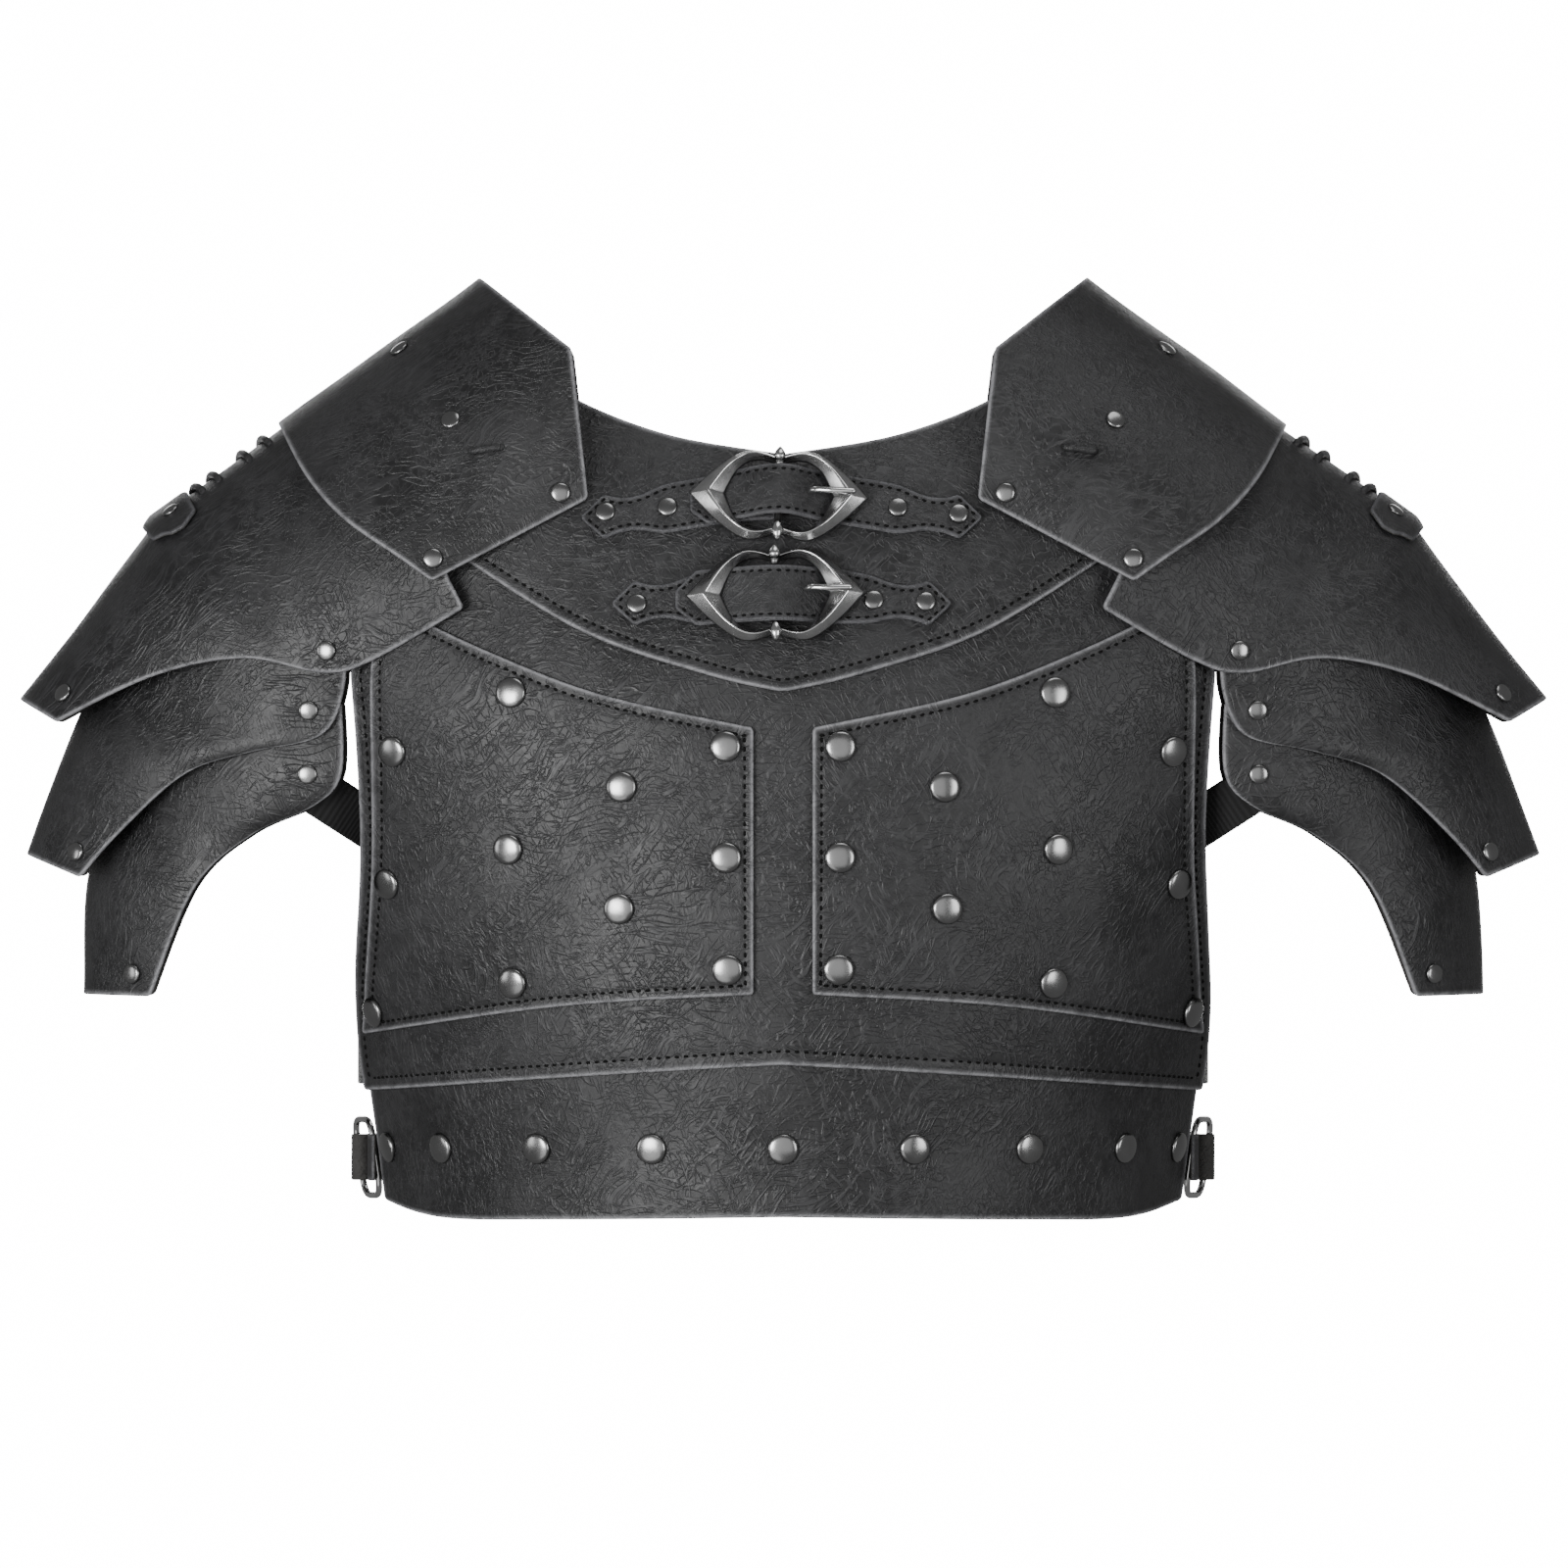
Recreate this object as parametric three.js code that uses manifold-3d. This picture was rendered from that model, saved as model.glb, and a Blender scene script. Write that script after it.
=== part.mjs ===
// Black leather breastplate with a pair of laminated shoulder guards.
// Millimetres, +Z up, the front faces -Y. The origin lies midway between the shoulders,
// at shoulder height, where the wearer's torso carries the armour.
import * as THREE from "three";
import { mergeVertices } from "three/addons/utils/BufferGeometryUtils.js";
import Module from "manifold-3d";

const wasm = await Module();
wasm.setup();

// Driving dimensions
const LEATHER = 2.0; // wall of the plates and panels
const STRAP_LEATHER = 1.8; // wall of the straps and tabs
const SEAT = 0.3; // gap between two pieces that lie on each other
const SEWN_GAP = 0.75; // gap between two curved sheets that are sewn together
const LAYER = LEATHER + SEWN_GAP; // rise from one sewn layer to the next
const CHEST_RIVET = { radius: 6.2, height: 3, sides: 8 };
const LACE_RADIUS = 1.3;
const HOLE_CLEARANCE = 0.35;
const BACK_STRAP_WIDTH = 19;
const BACK_DEPTH = 95; // from the widest line of the torso to the back straps
const ARM_STRAP_WIDTH = 19;

// Heights above the chest's surface of the layers sewn on it
const YOKE_HEIGHT = LAYER;
const STRAP_HEIGHT = 2 * LAYER;

// Sections of the torso that the leather follows: the front line, the half width and the depth
// of the ellipse that each section is part of.
const TORSO = [
  { z: -330, front: -110, half: 169, depth: 150 },
  { z: -298, front: -112, half: 173, depth: 148 },
  { z: -240, front: -117, half: 181, depth: 137 },
  { z: -190, front: -119, half: 190, depth: 118 },
  { z: -150, front: -118, half: 198, depth: 106 },
  { z: -110, front: -115, half: 209, depth: 96 },
  { z: -70, front: -104, half: 212, depth: 80 },
  { z: -32, front: -91, half: 216, depth: 58 },
  { z: -13, front: -79, half: 220, depth: 46 },
  { z: 12, front: -64, half: 225, depth: 36 },
  { z: 45, front: -36, half: 232, depth: 28 },
];

const LEATHER_BLACK = { color: 0x2b2b2c, roughness: 0.5, metalness: 0 };
const STRAP_BLACK = { color: 0x222223, roughness: 0.55, metalness: 0 };
const WEBBING_BLACK = { color: 0x141414, roughness: 0.8, metalness: 0 };
const NICKEL = { color: 0x9a9a9c, roughness: 0.25, metalness: 1 };
const ANTIQUE_SILVER = { color: 0x77777a, roughness: 0.35, metalness: 1 };

const armour = new THREE.Group();

function addPiece(name, geometry, finish) {
  const mesh = new THREE.Mesh(geometry, new THREE.MeshStandardMaterial(finish));
  mesh.name = name;
  armour.add(mesh);
  return mesh;
}

// Reads a column of a table whose rows are sorted by a key, with smooth slopes between the rows.
function readTable(rows, key, column, place) {
  const last = rows.length - 1;
  let i = 0;
  while (i < last - 1 && place > rows[i + 1][key]) i += 1;
  const slope = (k) => {
    const a = rows[Math.max(k - 1, 0)];
    const b = rows[Math.min(k + 1, last)];
    return (b[column] - a[column]) / (b[key] - a[key]);
  };
  const span = rows[i + 1][key] - rows[i][key];
  const t = THREE.MathUtils.clamp((place - rows[i][key]) / span, 0, 1);
  const rise = t * t * (3 - 2 * t);
  return (
    rows[i][column] * (1 - rise) +
    rows[i + 1][column] * rise +
    slope(i) * span * t * (1 - t) ** 2 -
    slope(i + 1) * span * t * t * (1 - t)
  );
}

// The torso's surface at an angle round from the front line.
function chestPoint(angle, z) {
  const half = readTable(TORSO, "z", "half", z);
  const depth = readTable(TORSO, "z", "depth", z);
  const front = readTable(TORSO, "z", "front", z);
  return new THREE.Vector3(half * Math.sin(angle), front + depth * (1 - Math.cos(angle)), z);
}

function chestNormal(angle, z) {
  const step = 0.01;
  const across = chestPoint(angle + step, z).sub(chestPoint(angle - step, z));
  const up = chestPoint(angle, z + 1).sub(chestPoint(angle, z - 1));
  return across.cross(up).normalize();
}

function chestAngle(x, z) {
  return Math.asin(THREE.MathUtils.clamp(x / readTable(TORSO, "z", "half", z), -1, 1));
}

// The place on the torso whose layer, at a height above it, is seen from the front at x and z.
function chestPlace(x, z, height) {
  const place = new THREE.Vector2(chestAngle(x, z), z);
  for (let i = 0; i < 4; i += 1) {
    const normal = chestNormal(place.x, place.y);
    place.y = z - normal.z * height;
    place.x = chestAngle(x - normal.x * height, place.y);
  }
  return place;
}

function chestLayer(place, height) {
  return chestPoint(place.x, place.y).addScaledVector(chestNormal(place.x, place.y), height);
}

// An edge made of smooth stretches, each through a few points of x and z, that meet at corners.
class Edge {
  constructor(...stretches) {
    this.path = new THREE.CurvePath();
    for (const points of stretches) {
      this.path.add(new THREE.SplineCurve(points.map(([x, z]) => new THREE.Vector2(x, z))));
    }
  }

  at(t) {
    return this.path.getPoint(THREE.MathUtils.clamp(t, 0, 1));
  }

  // Evenly spread points with one on every corner.
  spread(steps) {
    const curves = this.path.curves;
    const total = this.path.getLength();
    const points = [this.at(0)];
    curves.forEach((curve, i) => {
      const left = steps + 1 - points.length;
      const share = Math.max(1, Math.round((steps * curve.getLength()) / total));
      const count = i === curves.length - 1 ? left : Math.min(share, left);
      points.push(...curve.getSpacedPoints(count).slice(1));
    });
    return points;
  }
}

function mirrored(points) {
  return points.map(([x, z]) => [-x, z]).reverse();
}

// An edge that crosses the middle line, from its right half.
function bothSides(...stretches) {
  return new Edge(...stretches.map(mirrored).reverse(), ...stretches);
}

// Blends four edges, which meet at their corners, into a grid of points.
function blendEdges(bottom, right, top, left) {
  const columns = bottom.length - 1;
  const rows = left.length - 1;
  return left.map((start, j) =>
    bottom.map((low, i) => {
      const u = i / columns;
      const v = j / rows;
      return new THREE.Vector2()
        .addScaledVector(low, 1 - v)
        .addScaledVector(top[i], v)
        .addScaledVector(start, 1 - u)
        .addScaledVector(right[j], u)
        .addScaledVector(bottom[0], -(1 - u) * (1 - v))
        .addScaledVector(bottom[columns], -u * (1 - v))
        .addScaledVector(top[0], -(1 - u) * v)
        .addScaledVector(top[columns], -u * v);
    }),
  );
}

// A closed solid from a list of triangles of points, turned so that its faces point out.
function closedSolid(triangles) {
  const volume = triangles.reduce((sum, [a, b, c]) => sum + a.dot(b.clone().cross(c)), 0);
  const order = volume > 0 ? [0, 1, 2] : [0, 2, 1];
  const points = triangles.flatMap((corners) => order.map((k) => corners[k]));
  return mergeVertices(new THREE.BufferGeometry().setFromPoints(points), 1e-3);
}

// The wall between two grids of points that face each other, closed round its rim.
function wallBetween(outer, inner) {
  const rows = outer.length - 1;
  const columns = outer[0].length - 1;
  const triangles = [];
  const quad = (a, b, c, d) => triangles.push([a, b, c], [a, c, d]);
  for (let j = 0; j < rows; j += 1) {
    for (let i = 0; i < columns; i += 1) {
      quad(outer[j][i], outer[j][i + 1], outer[j + 1][i + 1], outer[j + 1][i]);
      quad(inner[j][i], inner[j + 1][i], inner[j + 1][i + 1], inner[j][i + 1]);
    }
  }
  for (let i = 0; i < columns; i += 1) {
    quad(inner[0][i], inner[0][i + 1], outer[0][i + 1], outer[0][i]);
    quad(outer[rows][i], outer[rows][i + 1], inner[rows][i + 1], inner[rows][i]);
  }
  for (let j = 0; j < rows; j += 1) {
    quad(outer[j][0], outer[j + 1][0], inner[j + 1][0], inner[j][0]);
    quad(inner[j][columns], inner[j + 1][columns], outer[j + 1][columns], outer[j][columns]);
  }
  return closedSolid(triangles);
}

function toSolid(geometry) {
  const bare = geometry.clone();
  bare.deleteAttribute("normal");
  bare.deleteAttribute("uv");
  const merged = mergeVertices(bare, 1e-3);
  const vertProperties = new Float32Array(merged.attributes.position.array);
  const triVerts = new Uint32Array(merged.index.array);
  return new wasm.Manifold(new wasm.Mesh({ numProp: 3, vertProperties, triVerts }));
}

function fromSolid(solid) {
  const { vertProperties, triVerts } = solid.getMesh();
  const geometry = new THREE.BufferGeometry();
  geometry.setAttribute("position", new THREE.BufferAttribute(vertProperties, 3));
  geometry.setIndex(new THREE.BufferAttribute(triVerts, 1));
  return geometry;
}

function cut(geometry, tool) {
  return fromSolid(toSolid(geometry).subtract(toSolid(tool)));
}

// A sheet of leather on the torso, from its outline as seen from the front.
function chestSheet(edges, height, columns, rows) {
  const outline = ["bottom", "right", "top", "left"].map((side, i) =>
    edges[side]
      .spread(i % 2 === 0 ? columns : rows)
      .map((point) => chestPlace(point.x, point.y, height + LEATHER)),
  );
  const places = blendEdges(...outline);
  const layer = (level) => places.map((row) => row.map((place) => chestLayer(place, level)));
  return wallBetween(layer(height + LEATHER), layer(height));
}

// The section of a cord or prong, as a polygon.
function roundSection(radius, count) {
  const corners = Array.from({ length: count }, (_, i) => (2 * Math.PI * i) / count);
  return new THREE.Shape(
    corners.map((angle) => new THREE.Vector2(radius * Math.cos(angle), radius * Math.sin(angle))),
  );
}

// Breast: base panel, yoke, chest plates and waist belt
const baseSide = [
  [[172, -273.6], [175.6, -236], [173.2, -165], [176.8, -102.4]],
  [[176.8, -102.4], [166, -70], [132, -46]],
];
addPiece(
  "base_panel",
  chestSheet(
    {
      bottom: bothSides([[0, -262.4], [70.4, -266.4], [172, -273.6]]),
      right: new Edge(...baseSide),
      top: bothSides([[0, -92], [80, -70], [132, -46]]),
      left: new Edge(...baseSide.map((stretch) => mirrored(stretch).reverse())),
    },
    0,
    20,
    9,
  ),
  LEATHER_BLACK,
);

const shoulderEnd = [[146, 6], [104, 28]];
const yokeSheet = chestSheet(
  {
    bottom: bothSides(
      [[0, -110.4], [30.8, -103.4], [83.2, -85.2], [143, -48]],
      [[143, -48], [146, 6]],
    ),
    right: new Edge(shoulderEnd),
    top: bothSides([[0, -13.2], [46.8, -5.2], [86, 10.4], [104, 28]]),
    left: new Edge(mirrored(shoulderEnd).reverse()),
  },
  YOKE_HEIGHT,
  22,
  4,
);

const plateEdges = {
  bottom: [[12, -233.8], [92, -238.8], [172.8, -250.4]],
  outer: [[172.8, -250.4], [168.4, -176], [168.4, -100.8], [162, -74]],
  top: [[12, -125], [73.6, -111.6], [120, -94], [162, -74]],
  inner: [[12, -233.8], [12, -125]],
};
const sides = [
  { side: "r", sign: 1 },
  { side: "l", sign: -1 },
];
const onSide = (points, sign) => points.map(([x, z]) => [sign * x, z]);

for (const { side, sign } of sides) {
  const edge = (name) => new Edge(onSide(plateEdges[name], sign));
  addPiece(
    `chest_plate_${side}`,
    chestSheet(
      { bottom: edge("bottom"), right: edge("outer"), top: edge("top"), left: edge("inner") },
      YOKE_HEIGHT,
      10,
      8,
    ),
    LEATHER_BLACK,
  );
}

const beltEnd = [[163.6, -318.4], [170.8, -264]];
addPiece(
  "waist_belt",
  chestSheet(
    {
      bottom: bothSides([[0, -324.4], [92, -325.6], [140, -325.2], [163.6, -318.4]]),
      right: new Edge(beltEnd),
      top: bothSides([[0, -250], [80, -253], [170.8, -264]]),
      left: new Edge(mirrored(beltEnd).reverse()),
    },
    -LAYER,
    20,
    3,
  ),
  LEATHER_BLACK,
);

// Domed rivets on the chest plates, at their places on the right plate
const CHEST_RIVETS = [
  { x: 110.8, z: -110.8 },
  { x: 159.2, z: -134.8 },
  { x: 23.4, z: -132.8 },
  { x: 65.8, z: -149.2 },
  { x: 112, z: -174.6 },
  { x: 23.2, z: -178 },
  { x: 161.6, z: -188.8 },
  { x: 66.8, z: -198.8 },
  { x: 110.2, z: -229.1 },
  { x: 22.6, z: -223.6 },
  { x: 167.4, z: -241.2 },
];
const domeProfile = [
  new THREE.Vector2(0, 0),
  new THREE.Vector2(CHEST_RIVET.radius, 0),
  new THREE.Vector2(CHEST_RIVET.radius * 0.82, CHEST_RIVET.height * 0.7),
  new THREE.Vector2(0, CHEST_RIVET.height),
];
const dome = new THREE.LatheGeometry(domeProfile, CHEST_RIVET.sides);
for (const { side, sign } of sides) {
  CHEST_RIVETS.forEach(({ x, z }, i) => {
    const height = YOKE_HEIGHT + LEATHER + SEAT;
    const place = chestPlace(sign * x, z, height);
    const rivet = addPiece(`chest_rivet_${side}_${i + 1}`, dome, NICKEL);
    rivet.position.copy(chestLayer(place, height));
    rivet.quaternion.setFromUnitVectors(
      new THREE.Vector3(0, 1, 0),
      chestNormal(place.x, place.y),
    );
  });
}

// Buckled straps on the yoke. Each row gives one strap's places along x, as seen from the front.
const CLOSURES = [
  { name: "upper", buckle: [-1.8, -29.8], tips: [-82.4, 81.2], tipZ: -39.2, end: -48 },
  { name: "lower", buckle: [-3.2, -70.2], tips: [-69.8, 68.7], tipZ: -74.4, end: -46 },
];
const BUCKLE = { half: 36.5, shoulder: 19.8, cusp: 16.8, windowHalf: 23, windowHigh: 14.4 };
const FRAME_HEIGHT = { bottom: 4.4, top: 9.4 };
const BAR = { half: 2, bottom: 2.1, top: 4.3 };
const PRONG_RADIUS = 1.3;

// Half width of a strap by the distance from its arrow tip
const ARROW = [
  { from: 0, half: 1.2 },
  { from: 9, half: 9.4 },
  { from: 21, half: 7.2 },
  { from: 40, half: 11.4 },
  { from: 200, half: 11.4 },
];
// Height of the strap over the yoke by the distance from the buckle's middle
const STRAP_RISE = [
  { x: -90, rise: 2.1 },
  { x: -14, rise: 2.2 },
  { x: -5, rise: 5.7 },
  { x: 5, rise: 5.7 },
  { x: 14, rise: 0.8 },
  { x: 24, rise: 0 },
  { x: 90, rise: 0 },
];

// Reads a column with straight lines between the rows.
function readStraight(rows, key, column, place) {
  let i = 0;
  while (i < rows.length - 2 && place > rows[i + 1][key]) i += 1;
  const t = (place - rows[i][key]) / (rows[i + 1][key] - rows[i][key]);
  return THREE.MathUtils.lerp(rows[i][column], rows[i + 1][column], THREE.MathUtils.clamp(t, 0, 1));
}

// A strap along the yoke, from stations along x with the middle, half width and rise at each.
function yokeStrap(stations) {
  const layer = (extra) =>
    stations.map(({ x, z, half, rise }) =>
      [-1, 0, 1].map((side) => {
        const height = STRAP_HEIGHT + rise + extra;
        return chestLayer(chestPlace(x, z + side * half, height), height);
      }),
    );
  return wallBetween(layer(STRAP_LEATHER), layer(0));
}

// The buckle's outline or window: an ogee with pointed ends, as a shape in its own plane.
function ogee(half, shoulder, cusp) {
  const shape = new THREE.Shape();
  shape.moveTo(half, 0);
  for (const [sx, sz] of [[1, 1], [-1, 1], [-1, -1], [1, -1]]) {
    const ends = [
      [half * sx, 0],
      [half * 0.62 * sx, shoulder * 0.86 * sz],
      [half * 0.3 * sx, shoulder * sz],
      [0, cusp * sz],
    ];
    const ordered = sx * sz > 0 ? ends : ends.reverse();
    ordered.slice(1).forEach(([x, z]) => shape.lineTo(x, z));
  }
  return shape;
}

let yoke = yokeSheet;
for (const { name, buckle, tips, tipZ, end } of CLOSURES) {
  const [centreX, centreZ] = buckle;
  const middle = (x) => {
    const reach = x < centreX ? tips[0] - centreX : tips[1] - centreX;
    const t = THREE.MathUtils.smoothstep(Math.abs((x - centreX) / reach), 0, 1);
    return THREE.MathUtils.lerp(centreZ, tipZ, t);
  };
  const arrow = (from) => readStraight(ARROW, "from", "half", from);

  const tabLength = centreX - 1 - tips[0];
  const tabStations = [0, 9, 21, 32, 44, tabLength].map((from) => {
    const x = tips[0] + from;
    return { x, z: middle(x), half: arrow(from), rise: 0 };
  });
  addPiece(`strap_tab_${name}`, yokeStrap(tabStations), STRAP_BLACK);

  const bends = STRAP_RISE.slice(1, -1).map(({ x }) => centreX + x);
  const strapPlaces = [end, end + 9, ...bends, tips[1] - 32, tips[1] - 21, tips[1] - 9, tips[1]];
  const strapStations = strapPlaces.map((x) => ({
    x,
    z: middle(x),
    half: Math.min(arrow(tips[1] - x), arrow(1.1 * (x - end))),
    rise: readStraight(STRAP_RISE, "x", "rise", x - centreX),
  }));
  let strap = yokeStrap(strapStations);

  const frameShape = ogee(BUCKLE.half, BUCKLE.shoulder, BUCKLE.cusp);
  frameShape.holes.push(ogee(BUCKLE.windowHalf, BUCKLE.windowHigh, BUCKLE.windowHigh * 0.96));
  const frame = new THREE.ExtrudeGeometry(frameShape, {
    depth: FRAME_HEIGHT.top - FRAME_HEIGHT.bottom - 2.4,
    bevelThickness: 1.2,
    bevelSize: 1.2,
    bevelOffset: -1.2,
    bevelSegments: 1,
    steps: 1,
  }).translate(0, 0, FRAME_HEIGHT.bottom + 1.2);
  const barHeight = BAR.top - BAR.bottom;
  const bar = new THREE.BoxGeometry(2 * BAR.half, 2 * BUCKLE.cusp - 1, barHeight);
  bar.translate(0, 0, BAR.bottom + barHeight / 2);
  const postHeight = FRAME_HEIGHT.top - 2 - BAR.bottom;
  const post = new THREE.BoxGeometry(2 * BAR.half, 2, postHeight);
  post.translate(0, BUCKLE.cusp - 1.5, BAR.bottom + postHeight / 2);
  const lowerPost = post.clone().rotateZ(Math.PI);
  const bead = new THREE.SphereGeometry(1, 6, 4).scale(2.1, 3.4, 2.1);
  const beadHeight = FRAME_HEIGHT.top - 1.4;
  const upperBead = bead.clone().translate(0, BUCKLE.cusp + 1.2, beadHeight);
  const lowerBead = bead.clone().translate(0, -BUCKLE.cusp - 1.2, beadHeight);
  const buckleSolid = [bar, post, lowerPost, upperBead, lowerBead].reduce(
    (solid, piece) => solid.add(toSolid(piece)),
    toSolid(frame),
  );

  const tubeOf = (radius) => {
    const route = [
      [BAR.half + SEAT, 3.4],
      [8.5, 3.7],
      [15, 7.4],
      [24, FRAME_HEIGHT.top + 1.9],
      [33, FRAME_HEIGHT.top + 1.7],
    ];
    const path = new THREE.CatmullRomCurve3(route.map(([x, h]) => new THREE.Vector3(x, 0, h)));
    return new THREE.ExtrudeGeometry(roundSection(radius, 6), { extrudePath: path, steps: 7 });
  };

  // The buckle's plane lies on the yoke at its middle: its own axes are x, up and out.
  const frameMiddle = (FRAME_HEIGHT.bottom + FRAME_HEIGHT.top) / 2;
  const seat = chestPlace(centreX, centreZ, STRAP_HEIGHT + frameMiddle);
  const out = chestNormal(seat.x, seat.y);
  const along = new THREE.Vector3(1, 0, 0).addScaledVector(out, -out.x).normalize();
  const frameOfBuckle = new THREE.Matrix4().makeBasis(along, out.clone().cross(along), out);
  frameOfBuckle.setPosition(chestLayer(seat, STRAP_HEIGHT));

  const slot = tubeOf(PRONG_RADIUS + HOLE_CLEARANCE).applyMatrix4(frameOfBuckle);
  strap = cut(strap, slot);
  addPiece(`strap_${name}`, strap, STRAP_BLACK);
  addPiece(
    `buckle_${name}`,
    fromSolid(buckleSolid).applyMatrix4(frameOfBuckle),
    ANTIQUE_SILVER,
  );
  addPiece(`prong_${name}`, tubeOf(PRONG_RADIUS).applyMatrix4(frameOfBuckle), ANTIQUE_SILVER);
}

// A plate folded over a crest line: the front half reaches from the crest to its lower edge, and
// the rear half is its mirror image. The edges are the front half's outline seen from the front,
// and the bow table gives, along the crest, the depth of the lower edge and the turn of the fold.
class FoldedPlate {
  constructor({ crest, lower, inner, outer, bow }) {
    this.crest = new Edge(...crest);
    this.lower = new Edge(...lower);
    this.inner = new Edge(...inner);
    this.outer = new Edge(...outer);
    this.bow = bow;
  }

  // A point of the outer face at a share of the crest and a share of the fold, minus to the rear.
  point(u, fold) {
    const turn = THREE.MathUtils.degToRad(readStraight(this.bow, "u", "turn", u));
    const depth = readTable(this.bow, "u", "depth", u);
    const angle = Math.abs(fold) * turn;
    const w = (1 - Math.cos(angle)) / (1 - Math.cos(turn));
    const seen = new THREE.Vector2()
      .addScaledVector(this.crest.at(u), 1 - w)
      .addScaledVector(this.lower.at(u), w)
      .addScaledVector(this.inner.at(w), 1 - u)
      .addScaledVector(this.outer.at(w), u)
      .addScaledVector(this.crest.at(0), -(1 - u) * (1 - w))
      .addScaledVector(this.crest.at(1), -u * (1 - w))
      .addScaledVector(this.lower.at(0), -(1 - u) * w)
      .addScaledVector(this.lower.at(1), -u * w);
    const y = (-Math.sign(fold) * depth * Math.sin(angle)) / Math.sin(turn);
    return new THREE.Vector3(seen.x, y, seen.y);
  }

  normal(u, fold) {
    const du = 0.01;
    const low = Math.max(u - du, 0);
    const high = Math.min(u + du, 1);
    const along = this.point(high, fold).sub(this.point(low, fold));
    const round = this.point(u, Math.min(fold + du, 1)).sub(this.point(u, Math.max(fold - du, -1)));
    return round.cross(along).normalize();
  }

  layer(u, fold, height) {
    return this.point(u, fold).addScaledVector(this.normal(u, fold), height);
  }

  // The share of the crest and of the fold at a place on the front half seen at x and z.
  placeAt(x, z) {
    const step = 1e-3;
    const goal = new THREE.Vector2(x, z);
    const seen = (u, f) => {
      const p = this.point(u, f);
      return new THREE.Vector2(p.x, p.z);
    };
    let u = 0.5;
    let fold = 0.6;
    for (let i = 0; i < 30; i += 1) {
      const here = seen(u, fold);
      const byU = seen(u + step, fold).sub(here).divideScalar(step);
      const byFold = seen(u, fold + step).sub(here).divideScalar(step);
      const miss = goal.clone().sub(here);
      const area = byU.cross(byFold);
      u = THREE.MathUtils.clamp(u + (0.7 * miss.cross(byFold)) / area, 0, 0.998);
      fold = THREE.MathUtils.clamp(fold + (0.7 * byU.cross(miss)) / area, 0.05, 0.998);
    }
    return { u, fold };
  }

  sheet(columns, halfRows) {
    const layer = (height) => {
      const grid = [];
      for (let j = -halfRows; j <= halfRows; j += 1) {
        const row = [];
        for (let i = 0; i <= columns; i += 1) row.push(this.layer(i / columns, j / halfRows, height));
        grid.push(row);
      }
      return grid;
    };
    return wallBetween(layer(0), layer(-LEATHER));
  }
}

// Shoulder guard on the right, from the neck to the arm
const CAP = new FoldedPlate({
  crest: [[[124.4, 59.8], [206.8, -0.4]]],
  lower: [[[79.2, -31.8], [143, -65.4]]],
  inner: [[[124.4, 59.8], [86.4, 30]], [[86.4, 30], [79.2, -31.8]]],
  outer: [[[206.8, -0.4], [194.4, -22.8], [178.8, -40], [157.2, -55.2], [143, -65.4]]],
  bow: [
    { u: 0, depth: 96, turn: 90 },
    { u: 1, depth: 101, turn: 90 },
  ],
});
const LAMES = [
  new FoldedPlate({
    crest: [[[176, 18], [206.8, -3.6], [257.6, -40]], [[257.6, -40], [286.8, -80.8], [313, -113]]],
    lower: [
      [[130, -76.4], [168, -98], [188, -102.8], [220, -96.8], [258, -104], [297.2, -122.4]],
    ],
    inner: [[[176, 18], [135.6, -65.6]], [[135.6, -65.6], [130, -76.4]]],
    outer: [[[313, -113], [297.2, -122.4]]],
    bow: [
      { u: 0, depth: 98.6, turn: 90 },
      { u: 0.33, depth: 81, turn: 88 },
      { u: 0.6, depth: 71, turn: 80 },
      { u: 1, depth: 42, turn: 50 },
    ],
  }),
  new FoldedPlate({
    crest: [[[268, -76], [290, -123.2], [310, -176.8]]],
    lower: [
      [[178.8, -87], [178.8, -108.8], [188, -128], [216, -134.8], [244, -144], [271.6, -168],
        [287.4, -186.2]],
    ],
    inner: [[[268, -76], [222, -91], [178.8, -87]]],
    outer: [[[310, -176.8], [287.4, -186.2]]],
    bow: [
      { u: 0, depth: 76.1, turn: 90 },
      { u: 0.2, depth: 76.1, turn: 88 },
      { u: 0.5, depth: 68, turn: 84 },
      { u: 1, depth: 44, turn: 55 },
    ],
  }),
  new FoldedPlate({
    crest: [[[272, -127], [284.6, -186], [286.6, -234]]],
    lower: [
      [[180, -114], [180, -144], [191.2, -157.2], [216.4, -168.8], [240, -190], [258.8, -234.8]],
    ],
    inner: [[[272, -127], [226, -126], [180, -114]]],
    outer: [[[286.6, -234], [258.8, -234.8]]],
    bow: [
      { u: 0, depth: 71.4, turn: 90 },
      { u: 0.2, depth: 73, turn: 90 },
      { u: 0.5, depth: 62, turn: 84 },
      { u: 1, depth: 46, turn: 62 },
    ],
  }),
];
const FIRST_LAME = LAMES[0];

function mirroredX(geometry) {
  const flipped = geometry.index ? geometry.toNonIndexed() : geometry.clone();
  flipped.scale(-1, 1, 1);
  const points = flipped.attributes.position;
  const triangles = [];
  for (let i = 0; i < points.count; i += 3) {
    triangles.push([0, 1, 2].map((k) => new THREE.Vector3().fromBufferAttribute(points, i + k)));
  }
  return closedSolid(triangles);
}

function addPair(name, geometry, finish) {
  addPiece(`${name}_r`, geometry, finish);
  addPiece(`${name}_l`, mirroredX(geometry), finish);
}

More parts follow.
